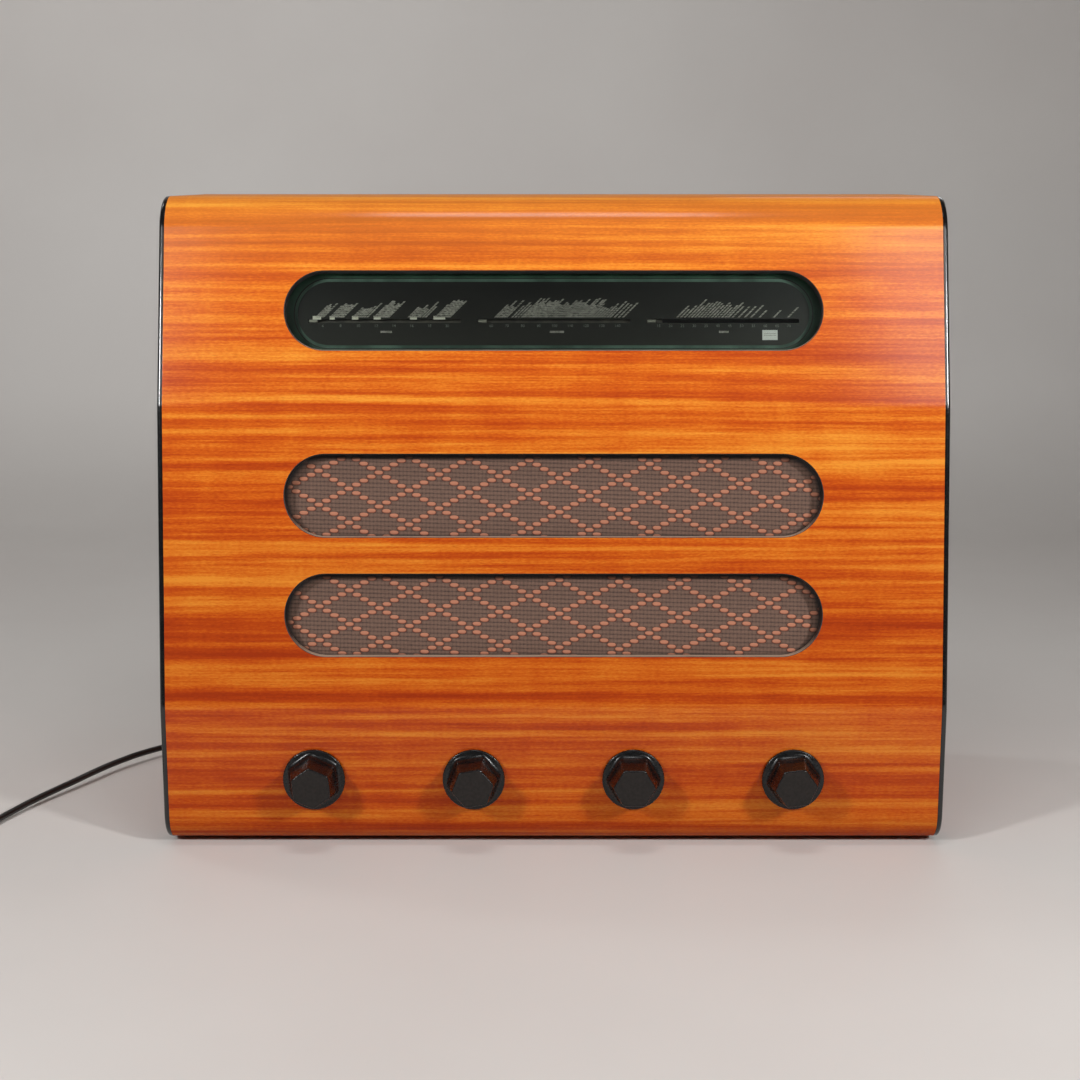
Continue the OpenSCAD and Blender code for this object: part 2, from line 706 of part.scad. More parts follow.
// Sheet steel channel that carries the glass, the pointer rails, the pulleys and the lamps
module dial_bracket() {
  low_b = face_b(bracket_low_z) + wrap_t / cos(lean_high) + 0.5;
  high_front_b = face_b(bracket_high_z) + wrap_t / cos(lean_high) + 0.5;
  color(steel_c) difference() {
    union() {
      at(0, bracket_b, 0)
        box([-bracket_half, 0, bracket_low_z], [bracket_half, bracket_t, bracket_high_z]);
      at(0, 0, bracket_low_z) box([-bracket_half, low_b, 0], [bracket_half, bracket_b + bracket_t, bracket_t]);
      at(0, 0, bracket_high_z - bracket_t)
        box([-bracket_half, high_front_b, 0], [bracket_half, bracket_b + bracket_t, bracket_t]);
      // Tabs screwed to the inside of the front
      at_dial() for (x = [-tab_x, tab_x]) for (z = [-tab_z - 7, tab_z - 9])
        box([x - 15, wrap_t + fit, z], [x + 15, wrap_t + fit + bracket_t, z + 16]);
      // Clips that press the scale and the glass to the front
      at_dial() for (x = [-170, 0, 170]) {
        box([x - 7, behind_scale + 0.1, -45], [x + 7, behind_scale + 0.1 + bracket_t, -glass_h / 2 + 5]);
        box([x - 7, glass_y + 0.2, -glass_h / 2 - 1.4], [x + 7, behind_scale + 0.5, -glass_h / 2 - 0.2]);
        box([x - 7, behind_scale + 0.1, glass_h / 2 - 5], [x + 7, behind_scale + 0.1 + bracket_t, 50]);
      }
      // Ears that hold the rails
      for (s = [-1, 1]) at(s * (ear_x + bracket_t / 2), bracket_b - 30, dial_z - 26)
        box([-bracket_t / 2, 0, 0], [bracket_t / 2, 30, 42]);
      // Pulley pins
      pulley_places([pulley_left, pulley_upper, pulley_lower]) {
        bar(line_b - pulley_t / 2 - slack, bracket_b + bracket_t / 2, pin_d);
        bar(line_b - pulley_t / 2 - slack - 1, line_b - pulley_t / 2 - slack, pin_d + 3);
        bar(line_b + pulley_t / 2 + slack, bracket_b + bracket_t / 2, pin_d + 3);
      }
    }
    at_dial() for (z = [-rail_z, rail_z]) translate([0, rail_y, z]) rotate([0, 90, 0])
      cylinder(d = rail_d + 2 * fit, h = 2 * ear_x + 20, center = true);
    bracket_screw_places() bar(-bracket_t - 1, 1, screw_d + slack);
    // The cord runs down to the drum and the spindle through the lower flange
    for (x = [knob_x(3) - hub_r, gang_x + drum_r]) at(x, line_b, bracket_low_z - 1)
      cylinder(d = 8, h = bracket_t + 2);
    for (x = lamp_xs) at(x, lamp_b, bracket_high_z - bracket_t - 1) cylinder(d = 12, h = bracket_t + 2);
  }
}

module pointer_rails() {
  color(steel_c) at_dial() for (z = [-rail_z, rail_z]) translate([0, rail_y, z]) rotate([0, 90, 0])
    cylinder(d = rail_d, h = 2 * (ear_x + bracket_t) + 2, center = true);
}

// Drawn at the left end of its travel: a bar with three pointers, two sliding blocks and a cord clip
module pointer_carriage() {
  first = -scale_pitch - scale_len / 2;
  color("#d8d2c0") at_dial() difference() {
    union() {
      box([first - 8, pointer_y, -9], [first + 2 * scale_pitch + 8, pointer_y + pointer_t, 9]);
      for (i = [0 : 2]) translate([first + i * scale_pitch, 0, pointer_line])
        box([-pointer_w / 2, scale_y + slack, -pointer_h / 2], [pointer_w / 2, pointer_y + 0.5, pointer_h / 2]);
      for (x = [first + 12, first + 2 * scale_pitch - 12]) {
        box([x - 6, pointer_y, 7], [x + 6, rail_y + 4, rail_z + 4]);
        box([x - 3, pointer_y, -rail_z - 3], [x + 3, rail_y + 2, -rail_z - rail_d / 2 - 0.2]);
        box([x - 3, pointer_y, -rail_z + rail_d / 2 + 0.2], [x + 3, rail_y + 2, -7]);
        box([x - 3, pointer_y, -rail_z - 3], [x + 3, pointer_y + pointer_t, -7]);
      }
      translate([first + scale_pitch, 0, 0])
        box([-4, pointer_y, clip_at[1] - 2.2], [4, clip_at[0] + 2.2, clip_at[1] + 2.2]);
    }
    translate([0, rail_y, rail_z]) rotate([0, 90, 0]) cylinder(d = rail_d + 2 * fit, h = 2 * ear_x, center = true);
    translate([0, clip_at[0], clip_at[1]]) rotate([0, 90, 0])
      cylinder(d = line_d + 0.4, h = 2 * ear_x, center = true);
  }
}

module pulley(p) {
  r = pulley_r - line_d / 2 - 0.15;
  color(brass_c) at(p[0], line_b, p[1]) rotate([-90, 0, 0]) rotate_extrude() polygon([
    [pin_d / 2 + fit, -pulley_t / 2], [pulley_r + rim_h, -pulley_t / 2], [pulley_r + rim_h, -1.6], [r, -0.9],
    [r, 0.9], [pulley_r + rim_h, 1.6], [pulley_r + rim_h, pulley_t / 2], [pin_d / 2 + fit, pulley_t / 2]]);
}

module pulley_left() {
  pulley(pulley_left);
}

module pulley_upper() {
  pulley(pulley_upper);
}

module pulley_lower() {
  pulley(pulley_lower);
}

// Points round a centre, from one angle to another as seen from the front
function line_arc(centre, r, a0, a1, step) = let (n = ceil(abs(a1 - a0) / step))
  [for (k = [0 : n]) centre + r * dir(a0 + (a1 - a0) * k / n)];

// One loop: spindle, drum, up to the dial, across with the pointers, back and down to the spindle
module drive_cord() {
  hub = [knob_x(3), knob_z];
  drum = [gang_x, gang_z];
  gap = drum - hub;
  lean = atan2(gap[1], gap[0]) - acos((hub_r - drum_r) / norm(gap));
  loop = concat(
    line_arc(hub, hub_r, 180, 360 + lean, 15),
    line_arc(drum, drum_r, lean, 0, 5),
    line_arc(pulley_upper, pulley_r, 0, 90, 15),
    line_arc(pulley_left, pulley_r, 90, 270, 15),
    line_arc(pulley_lower, pulley_r, 90, 0, 15));
  color("#8a7a58") tube([for (p = loop) [p[0], front_y + line_b, p[1]]], line_d / 2, 6, [0, 1, 0], true);
}

module dial_lamps() {
  color("#e8e0b8") for (x = lamp_xs) at(x, lamp_b, bracket_high_z - 8) mirror([0, 0, 1])
    rotate_extrude() polygon([[0, 0], [4.5, 0], [4.5, 5], [5.4, 8], [5.4, 14], [4, 18.5], [2, 20.5], [0, 21]]);
}

module lamp_holders() {
  color(brass_c) for (x = lamp_xs) at(x, lamp_b, bracket_high_z) {
    translate([0, 0, -8]) cylinder(d = 11.5, h = 14);
    cylinder(d = 16, h = 1.2);
  }
}

// Chassis

module valve_places() {
  for (x = valve_xs) at(x, back_row_b, chassis_top) children();
}

// A folded tray, open below, with turned-in feet at the front and the back
module chassis() {
  x0 = chassis_x[0];
  x1 = chassis_x[1];
  color(steel_c) difference() {
    at(0, chassis_b, 0) box([x0, 0, floor_z], [x1, chassis_d, chassis_top]);
    at(0, chassis_b, 0) box([x0 + sheet_t, flange_w, floor_z - 1],
      [x1 - sheet_t, chassis_d - flange_w, chassis_top - sheet_t]);
    at(0, chassis_b, 0) box([x0 + sheet_t, sheet_t, floor_z + sheet_t],
      [x1 - sheet_t, chassis_d - sheet_t, chassis_top - sheet_t]);
    for (i = [0 : 3]) at(knob_x(i), chassis_b, knob_z) bar(-1, sheet_t + 1, bush_d + 2 * fit);
    valve_places() translate([0, 0, -sheet_t - 1]) cylinder(d = valve_hole_d, h = sheet_t + 2);
    for (x = chassis_bolt_xs) for (b = chassis_bolt_bs)
      at(x, b, floor_z - 1) cylinder(d = chassis_bolt_d + slack, h = sheet_t + 2);
  }
}

module chassis_bolts() {
  color(steel_c) for (x = chassis_bolt_xs) for (b = chassis_bolt_bs) at(x, b, 0) {
    translate([0, 0, foot_h - 2]) cylinder(d = 9, h = 2);
    translate([0, 0, foot_h - 1]) cylinder(d = chassis_bolt_d, h = base_t + sheet_t + 7);
    translate([0, 0, floor_z + sheet_t]) cylinder(d = 8 / cos(30), h = 4, $fn = 6);
  }
}

// Laminated core with two windows, seen from the front, as deep as its stack
module transformer_core() {
  color("#5b5a58") at(core_at[0], core_at[1], chassis_top + core_size[2] / 2) rotate([90, 0, 0])
    linear_extrude(core_size[1], center = true) difference() {
      square([core_size[0], core_size[2]], center = true);
      for (s = [-1, 1]) translate([s * (limb_w + core_window[0]) / 2, 0]) square(core_window, center = true);
    }
}

module transformer_windings() {
  w = limb_w + 2 * core_window[0] - 1;
  color("#8c6a3a") at(core_at[0], core_at[1], chassis_top + core_size[2] / 2)
    linear_extrude(core_window[1] - 1, center = true) difference() {
      rounded_square([w, core_size[1] + 2 * core_window[0]], 8);
      square([limb_w + 2 * slack, core_size[1] + 2 * slack], center = true);
    }
}

module smoothing_capacitor() {
  color("#b8bac0") at(back_row_x(2), back_row_b, chassis_top) {
    cylinder(d = capacitor_d, h = capacitor_h);
    translate([0, 0, capacitor_h]) cylinder(d1 = capacitor_d, d2 = capacitor_d - 5, h = 2);
  }
}

module coil_cans() {
  color("#c0c2c4") for (x = can_xs) at(x, front_row_b, chassis_top)
    linear_extrude(can_h) rounded_square([can_w, can_w], 4);
}

// Laminate discs that the valve bases plug into, held in the chassis holes
module valve_sockets() {
  color(paper_c) valve_places() difference() {
    union() {
      cylinder(d = socket_d, h = socket_t);
      translate([0, 0, -sheet_t - 8]) cylinder(d = valve_hole_d - slack, h = sheet_t + 8.5);
    }
    translate([0, 0, -sheet_t - 9]) cylinder(d = 9, h = sheet_t + socket_t + 10);
    for (a = [0 : 45 : 315]) rotate(a) translate([8.7, 0, -6]) cylinder(d = 3, h = socket_t + 7, $fn = 16);
  }
}

module valve_bases() {
  color(black_c) valve_places() translate([0, 0, socket_t]) {
    cylinder(d = valve_base_d, h = valve_base_h);
    translate([0, 0, -12]) cylinder(d = 8, h = 12.5);
    for (a = [0 : 45 : 315]) rotate(a) translate([8.7, 0, -8]) cylinder(d = 2.4, h = 8.5, $fn = 16);
  }
}

module valve_bulbs() {
  r = valve_d / 2;
  neck = valve_base_d / 2 - 1.5;
  color(glass_c, 0.5) valve_places() translate([0, 0, socket_t + valve_base_h]) rotate_extrude() union() {
    polygon([[0, 0], [neck, 0], [r, 22], [r, valve_h * 0.6], [neck - 2, valve_h - 12], [0, valve_h - 12]]);
    translate([0, valve_h - 12]) intersection() {
      circle(12);
      square(12);
    }
    translate([0, valve_h - 12]) square([neck - 4, 4]);
  }
}

// Tuning capacitor

module at_gang() {
  at(gang_x, gang_b, gang_z) children();
}

// Two end plates on a base plate, on four short pillars, with the shaft's bearings
module gang_frame() {
  base_z = chassis_top + gang_foot - gang_z;
  top_z = 30;
  color(steel_c) at_gang() difference() {
    union() {
      for (b = [0, gang_l - gang_plate_t])
        box([-gang_w / 2, b, base_z], [gang_w / 2, b + gang_plate_t, top_z]);
      box([-gang_w / 2, 0, base_z], [gang_w / 2, gang_l, base_z + gang_plate_t]);
      for (x = [-1, 1]) translate([x * (gang_w / 2 - 3), 0, top_z - 3]) bar(0, gang_l, 5);
      for (x = [-1, 1]) for (b = [8, gang_l - 8])
        translate([x * (gang_w / 2 - 8), b, base_z - gang_foot]) cylinder(d = 7, h = gang_foot + 0.5);
      bar(-3, 1, 12);
      bar(gang_l - 1, gang_l + 3, 12);
    }
    bar(-4, gang_l + 4, shaft_d + 2 * fit);
  }
}

// Fixed plates on the right of the shaft, strung on two bars
module gang_stator() {
  seat = gang_plate_t;
  color("#c9ccd0") at_gang() {
    for (z = [-16, 16]) translate([vane_r + 4, 0, z]) bar(seat, gang_l - seat, 3);
    for (i = [0 : vane_n]) translate([0, seat + 6 + (i - 0.5) * vane_pitch + vane_pitch / 2, 0]) rotate([90, 0, 0])
      linear_extrude(vane_t, center = true) difference() {
        translate([0.5, -20]) square([vane_r + 5.5, 40]);
        circle(collar_r + 2);
      }
  }
}

// Moving plates, meshed with the fixed ones at the left end of the scales
module gang_rotor() {
  color("#c2a868") at_gang() {
    bar(line_b - gang_b - 6, gang_l + 3, shaft_d);
    bar(gang_plate_t + slack, gang_l - gang_plate_t - slack, 2 * collar_r);
    for (i = [1 : vane_n]) translate([0, gang_plate_t + 6 + (i - 0.5) * vane_pitch, 0]) rotate([90, 0, 0])
      linear_extrude(vane_t, center = true) intersection() {
        circle(vane_r);
        translate([0, -vane_r]) square(2 * vane_r);
      }
  }
}

module drive_drum() {
  r = drum_r - line_d / 2 - 0.15;
  color(brass_c) at(gang_x, line_b, gang_z) difference() {
    rotate([-90, 0, 0]) rotate_extrude($fn = 96) polygon([
      [shaft_d / 2 + fit, -5], [8, -5], [8, -2.5], [drum_r + rim_h, -2.5], [drum_r + rim_h, -1.6], [r, -0.9],
      [r, 0.9], [drum_r + rim_h, 1.6], [drum_r + rim_h, 2.5], [8, 2.5], [8, 5], [shaft_d / 2 + fit, 5]]);
    for (a = [30 : 60 : 330]) translate([0.6 * drum_r * cos(a), 0, 0.6 * drum_r * sin(a)]) bar(-4, 4, 0.3 * drum_r);
  }
}

// Controls

module at_control(i) {
  at(knob_x(i), chassis_b, knob_z) children();
}

// Threaded bush through the chassis front, with its nut
module bush(front, back) {
  bar(front, back, bush_d);
  hex_bar(-2.5, 0, 14);
}

module potentiometers() {
  for (i = [0, 1]) color(paper_c) at_control(i) difference() {
    union() {
      bush(-9, sheet_t + 1);
      bar(sheet_t, sheet_t + 13, 32);
      for (x = [-8, 0, 8]) box([x - 1.5, sheet_t + 4, -24], [x + 1.5, sheet_t + 5, -12]);
    }
    bar(-10, sheet_t + 11, spindle_d + 2 * fit);
  }
}

module waveband_switch() {
  color(paper_c) at_control(2) difference() {
    union() {
      bush(-9, sheet_t + 1);
      box([-18, sheet_t, -14], [18, sheet_t + 1.5, 14]);
      for (b = [12, 26]) bar(sheet_t + b, sheet_t + b + 1.6, 34);
      for (x = [-14, 14]) translate([x, 0, 0]) bar(sheet_t + 1, sheet_t + 30, 4);
    }
    bar(-10, sheet_t + 31, spindle_d + 2 * fit);
  }
}

module tuning_bearing() {
  color(brass_c) at_control(3) difference() {
    union() {
      bush(-5, sheet_t + 1);
      bar(sheet_t, sheet_t + 12, 14);
    }
    bar(-6, sheet_t + 13, spindle_d + 2 * fit);
  }
}

// A spindle from inside its knob to a distance behind the chassis front
module spindle(i, end) {
  start = -knob_gap - knob_out + 8;
  at(knob_x(i), 0, knob_z) bar(start, chassis_b + end, spindle_d);
}

module spindle_volume() {
  color(steel_c) spindle(0, sheet_t + 10);
}

module spindle_tone() {
  color(steel_c) spindle(1, sheet_t + 10);
}

module spindle_waveband() {
  color(steel_c) spindle(2, sheet_t + 29);
}

// This one has the hub that the drive cord runs round, and a clip behind its bearing
module spindle_tuning() {
  r = hub_r - line_d / 2 - 0.15;
  color(steel_c) {
    spindle(3, sheet_t + 15);
    at(knob_x(3), line_b, knob_z) rotate([-90, 0, 0]) rotate_extrude() polygon([
      [0, -4], [hub_r + 2, -4], [hub_r + 2, -1.6], [r, -0.9], [r, 0.9], [hub_r + 2, 1.6], [hub_r + 2, 4], [0, 4]]);
    at_control(3) bar(sheet_t + 12 + slack, sheet_t + 13.3, 10);
  }
}

// Half of a tapered pair of flats, as wide as the knob is across
module flats(h) {
  a = grip_root_af / 2;
  b = grip_face_af / 2;
  rotate([90, 0, 0]) linear_extrude(3 * skirt_d, center = true) polygon([[-a, 0], [a, 0], [b, h], [-b, h]]);
}

// Round domed skirt under a tapered six-sided grip, turned by an angle as the user left it
module knob(i, turn) {
  h = knob_out - knob_gap;
  r = skirt_d / 2;
  grip_h = h - skirt_t + 1;
  root_r = grip_root_af / 2 / cos(30);
  face_r = grip_face_af / 2 / cos(30);
  color(knob_c) at(knob_x(i), -knob_gap, knob_z) rotate([90, turn, 0]) difference() {
    union() {
      rotate_extrude($fn = 96) union() {
        square([r - 1, 2.2]);
        translate([r - 1.1, 1.1]) circle(1.1);
        intersection() {
          translate([0, skirt_t - 4 * r]) circle(4 * r, $fn = 360);
          translate([0, 1.1]) square([r - 1.1, skirt_t]);
        }
      }
      translate([0, 0, skirt_t - 1]) intersection() {
        flats(grip_h);
        rotate(60) flats(grip_h);
        rotate(120) flats(grip_h);
        rotate_extrude($fn = 96) polygon([[0, 0], [root_r - 0.6, 0], [face_r - 0.5, grip_h - 1.4],
          [face_r - 1.6, grip_h], [0, grip_h]]);
      }
    }
    translate([0, 0, -1]) cylinder(d = spindle_d + 2 * fit, h = h - 6);
    translate([0, 0, -1]) cylinder(d = 18, h = 2);
    translate([0, 0, skirt_t + 3]) rotate([0, 90, 0]) cylinder(d = 3.2, h = skirt_d);
  }
}

module knob_volume() {
  knob(0, -6);
}

module knob_tone() {
  knob(1, 20);
}

module knob_waveband() {
  knob(2, 30);
}

module knob_tuning() {
  knob(3, 24);
}

// Mains lead

module mains_cord() {
  color(black_c) tube(cord_route, cord_d / 2, 8);
}

module mains_cord_coil() {
  color(black_c) tube(coil_path, cord_d / 2, 6);
}

module mains_cord_tail() {
  color(black_c) tube(tail_route, cord_d / 2, 8);
}

// A strap round all the turns at the front of the coil
module cord_tie() {
  inner = coil_r - cord_d / 2 - 1;
  outer = coil_out_r + cord_d / 2 + 0.5;
  top = coil_top_z + cord_d / 2 + 0.2;
  color(paper_c) translate([coil_at[0], coil_at[1], 0]) difference() {
    box([-5, -outer - tie_t, 0], [5, -inner + tie_t, top + tie_t]);
    box([-6, -outer, tie_t], [6, -inner, top]);
  }
}

// Turned about the lead: a waisted grip that widens to the flat face with the pins
module plug_body() {
  r = plug_r;
  color(black_c) translate(plug_end) rotate([-90, 0, 0]) rotate_extrude() polygon([
    [0, 0], [4.5, 0], [5, 0.6], [5, plug_l * 0.28], [6.5, plug_l * 0.4], [r - 2.5, plug_l * 0.6],
    [r - 0.4, plug_l * 0.68], [r, plug_l * 0.74], [r, plug_l - 1], [r - 1, plug_l], [0, plug_l]]);
}

module plug_pins() {
  color(brass_c) translate(plug_end + [0, plug_l, 0]) for (s = [-1, 1]) translate([s * 9.5, 0, 0]) {
    bar(0, 17.5, 4);
    translate([0, 17.5, 0]) rotate([-90, 0, 0]) cylinder(d1 = 4, d2 = 2, h = 1.5);
  }
}

front_wrap();
side_left();
side_right();
edge_bead_left();
edge_bead_right();
base_board();
feet();
cabinet_battens();
back_cover();
wood_screws();
baffle_board();
grille_cloth();
speaker_frame();
speaker_cone();
speaker_magnet();
speaker_bolts();
output_transformer();
dial_glass();
dial_scale();
dial_bracket();
pointer_rails();
pointer_carriage();
pulley_left();
pulley_upper();
pulley_lower();
drive_cord();
dial_lamps();
lamp_holders();
chassis();
chassis_bolts();
transformer_core();
transformer_windings();
smoothing_capacitor();
coil_cans();
valve_sockets();
valve_bases();
valve_bulbs();
gang_frame();
gang_stator();
gang_rotor();
drive_drum();
potentiometers();
waveband_switch();
tuning_bearing();
spindle_volume();
spindle_tone();
spindle_waveband();
spindle_tuning();
knob_volume();
knob_tone();
knob_waveband();
knob_tuning();
terminal_panel();
strain_relief();
mains_cord();
mains_cord_coil();
mains_cord_tail();
cord_tie();
plug_body();
plug_pins();
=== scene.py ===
"""Looks of the table radio, built round its packed CAD frame. Metres, +Z up, the front faces -Y.

"Behind the front" is measured back from the upright foot of the front sheet, as in the CAD source.
"""

import json
import math

import bpy
import numpy as np
from bpy.props import FloatProperty, FloatVectorProperty, IntProperty, PointerProperty
from mathutils import Matrix, Vector


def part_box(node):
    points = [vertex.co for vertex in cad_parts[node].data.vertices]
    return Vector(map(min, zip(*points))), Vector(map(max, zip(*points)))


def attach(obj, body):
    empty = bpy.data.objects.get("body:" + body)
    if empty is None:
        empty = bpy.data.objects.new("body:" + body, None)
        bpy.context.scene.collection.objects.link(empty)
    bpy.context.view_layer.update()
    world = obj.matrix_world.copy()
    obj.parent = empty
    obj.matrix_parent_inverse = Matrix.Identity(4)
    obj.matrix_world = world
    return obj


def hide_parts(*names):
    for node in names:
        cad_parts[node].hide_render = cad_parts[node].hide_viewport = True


bl_info = {
    "name": "Table Radio",
    "version": (1, 0, 0),
    "blender": (4, 5, 0),
    "location": "View3D > Sidebar > Radio",
    "description": "Builds the looks of a table radio round its CAD frame",
    "category": "Add Mesh",
}

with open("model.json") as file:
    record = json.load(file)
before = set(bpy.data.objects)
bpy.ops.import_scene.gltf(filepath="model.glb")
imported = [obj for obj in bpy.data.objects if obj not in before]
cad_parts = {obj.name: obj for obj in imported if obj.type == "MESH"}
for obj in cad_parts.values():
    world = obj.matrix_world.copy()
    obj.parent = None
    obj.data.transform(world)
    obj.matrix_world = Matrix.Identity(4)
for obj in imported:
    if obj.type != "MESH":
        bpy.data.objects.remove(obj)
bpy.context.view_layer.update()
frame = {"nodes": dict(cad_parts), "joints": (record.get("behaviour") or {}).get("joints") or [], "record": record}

MM = 0.001
SHEET_LOW, SHEET_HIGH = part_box("front_wrap")
FRONT_Y = SHEET_LOW.y
AXLES = {j["child"]: j["pos_m"] for j in frame["joints"] if "pos_m" in j}
CONTROLS = ("volume", "tone", "waveband", "tuning")
# Reach of a raised float of the cloth, as a share of its pitch, and the power that rounds its ends
FLOAT_ACROSS, FLOAT_UP = (0.6, 2.3), (0.53, 2.4)
# Tones of the veneer, from rust to gold, and of the pale room round the stage
FRONT_TONES = ("#ab3a05", "#c14d08", "#d2620f", "#e07a1c", "#ee9a31")
SIDE_TONES = ("#973305", "#ab4408", "#bd570f", "#cd6d1b", "#dd8b2e")
ROOM_TONE = "#f4f1ee"
# Finish of each of the record's material slots, filled once they are made
FINISH_OF = {}


# Colours and nodes


def linear(code):
    """Turns an sRGB hex value, such as #c8641e, into linear red, green and blue."""
    parts = [int(code[i : i + 2], 16) / 255 for i in (1, 3, 5)]
    return tuple(p / 12.92 if p <= 0.04045 else ((p + 0.055) / 1.055) ** 2.4 for p in parts)


def opaque(tone):
    """Four channels of a tone, which is a hex value, three linear channels, or a number for a grey."""
    if isinstance(tone, str):
        tone = linear(tone)
    return (*tone[:3], 1) if hasattr(tone, "__len__") else (tone, tone, tone, 1)


def feed(socket, value):
    """Links a socket to the one that feeds it, or gives it a number, a vector or a tone."""
    if isinstance(value, bpy.types.NodeSocket):
        socket.id_data.links.new(value, socket)
    else:
        socket.default_value = opaque(value) if socket.type == "RGBA" else value


def add(tree, kind, inputs=None, stops=None, out=0, **settings):
    """Adds one node to a tree and gives its output. settings are its own properties, inputs what
    goes to its sockets, and stops the places and tones of a ramp."""
    node = tree.nodes.new(kind)
    for key, value in settings.items():
        setattr(node, key, value)
    for key, value in (inputs or {}).items():
        feed(node.inputs[key], value)
    for n, (place, tone) in enumerate(stops or []):
        ramp = node.color_ramp.elements
        if n == 0:
            ramp.remove(ramp[1])
        element = ramp.new(place) if n else ramp[0]
        element.position = place
        element.color = opaque(tone)
    return node.outputs[out]


def blank(name, **settings):
    """A node material, its tree and its Principled shader with the settings put on its sockets."""
    material = bpy.data.materials.new(name)
    material.use_nodes = True
    tree = material.node_tree
    shader = next(n for n in tree.nodes if n.type == "BSDF_PRINCIPLED")
    for key, value in settings.items():
        feed(shader.inputs[key.replace("_", " ")], value)
    return material, tree, shader


def streaks(tree, vector, size, detail=3.0, distortion=0.0):
    """Noise drawn out along the surface: size is the length, width and depth of a streak in metres."""
    scaled = add(tree, "ShaderNodeMapping", {"Vector": vector, "Scale": [1 / s for s in size]})
    noise = {"Vector": scaled, "Scale": 1.0, "Detail": detail, "Distortion": distortion}
    return add(tree, "ShaderNodeTexNoise", noise, out="Fac")


def relief(tree, shader, height, distance, strength=1.0):
    """Gives the shader a bump of that height in metres."""
    bump = {"Height": height, "Distance": distance, "Strength": strength}
    feed(shader.inputs["Normal"], add(tree, "ShaderNodeBump", bump))


def mottled(name, dark, light, grain, bump=0.0, roughness=0.5, metallic=0.0, shine=0.5):
    """A finish whose colour drifts between two tones. grain is the size of a fleck in metres, as
    one number or as its length, width and depth."""
    material, tree, shader = blank(name, Roughness=roughness, Metallic=metallic, Specular_IOR_Level=shine)
    place = add(tree, "ShaderNodeTexCoord", out="Object")
    fleck = streaks(tree, place, np.broadcast_to(grain, 3).tolist(), 5.0)
    ramp = add(tree, "ShaderNodeValToRGB", {0: fleck}, [(0.36, dark), (0.64, light)])
    feed(shader.inputs["Base Color"], ramp)
    if bump:
        relief(tree, shader, fleck, bump)
    return material


# Finishes


def polished_veneer(name, vector_of, colours):
    """French polished ribbon-striped mahogany veneer: soft-edged bands about 10 mm wide that run
    the whole width, gold where the grain leans one way and rust where it leans the other, a satin
    of short fibres over them, fine pores, and a clear gloss that is a little uneven."""
    material, tree, shader = blank(
        name, Roughness=0.7, Specular_IOR_Level=0.08, Coat_Roughness=0.16, Coat_IOR=1.5
    )
    grain = vector_of(tree)
    band = streaks(tree, grain, (1.3, 0.034, 1), 1.0, 0.2)
    blend = streaks(tree, grain, (0.42, 0.0072, 1), 2.5, 0.3)
    fine = streaks(tree, grain, (0.06, 0.0016, 1), 3.0, 0.3)
    fibre = streaks(tree, grain, (0.0034, 0.0011, 1), 2.0)
    cross = streaks(tree, grain, (0.03, 0.05, 1), 2.0, 0.6)
    pore = streaks(tree, grain, (0.005, 0.0005, 1), 3.0)
    for share, layer in ((0.36, band), (0.2, fine), (0.15, fibre), (0.07, cross)):
        blend = add(tree, "ShaderNodeMix", {0: share, 2: blend, 3: layer})
    places = (0.385, 0.455, 0.5, 0.545, 0.615)
    wood = add(tree, "ShaderNodeValToRGB", {0: blend}, list(zip(places, colours)))
    dark = add(tree, "ShaderNodeValToRGB", {0: pore}, [(0.3, 0.78), (0.4, 1.0)])
    up = add(tree, "ShaderNodeSeparateXYZ", {0: grain}, out="Y")
    # Painted shade: the veneer is darkened towards the foot, where less of the lamps' light falls
    painted_foot_shade = [(0.04, "#ccb6ab"), (0.2, "#dccfc8"), (0.45, 1.0)]
    foot = add(tree, "ShaderNodeValToRGB", {0: up}, painted_foot_shade)
    # Painted light: the top, where the light falls, is mixed towards gold
    painted_top_light = add(tree, "ShaderNodeMapRange", {0: up, 1: 0.44, 2: 0.53, 3: 0.0, 4: 0.4})
    for share, layer, way in ((1.0, dark, "MULTIPLY"), (1.0, foot, "MULTIPLY"), (painted_top_light, "#f4ae4a", "MIX")):
        both = {0: share, 6: wood, 7: layer}
        wood = add(tree, "ShaderNodeMix", both, out=2, data_type="RGBA", blend_type=way)
    feed(shader.inputs["Base Color"], wood)
    # The gloss is worn thin towards the foot, and on the top where things have stood
    stops = [(0.04, 0.15), (0.1, 0.4), (0.3, 0.55), (0.4, 1.0), (0.485, 1.0), (0.503, 0.15)]
    gloss = add(tree, "ShaderNodeValToRGB", {0: up}, stops)
    feed(shader.inputs["Coat Weight"], gloss)
    relief(tree, shader, pore, 0.00002)
    ripple = streaks(tree, grain, (0.05, 0.03, 1), 2.0)
    soft = add(tree, "ShaderNodeBump", {"Height": ripple, "Distance": 0.0004, "Strength": 0.25})
    feed(shader.inputs["Coat Normal"], soft)
    return material


def slot_edge(name):
    """Cut plies of the slots, painted with light and shade by the way they face: the ledges that face
    up are painted pale as if lit, and the walls that face down or sideways are painted near black,
    as shade."""
    material, tree, shader = blank(name, Roughness=0.55)
    place = add(tree, "ShaderNodeTexCoord", out="Object")
    plies = streaks(tree, place, (0.03, 0.0016, 0.0016))
    # Painted light and shade: the tone follows how far the surface faces up
    facing = add(tree, "ShaderNodeNewGeometry", out="Normal")
    up = add(tree, "ShaderNodeSeparateXYZ", {0: facing}, out="Z")
    rubbing_and_painted_light = add(tree, "ShaderNodeMix", {0: 0.25, 2: up, 3: plies})
    stops = [(0.1, "#0d0907"), (0.5, "#33211a"), (0.85, "#b0957f")]
    ramp = add(tree, "ShaderNodeValToRGB", {0: rubbing_and_painted_light}, stops)
    feed(shader.inputs["Base Color"], ramp)
    return material


def along_uv(tree):
    """The mesh's own length and height on the flat sheet, from its UV map."""
    return add(tree, "ShaderNodeUVMap", uv_map="UVMap")


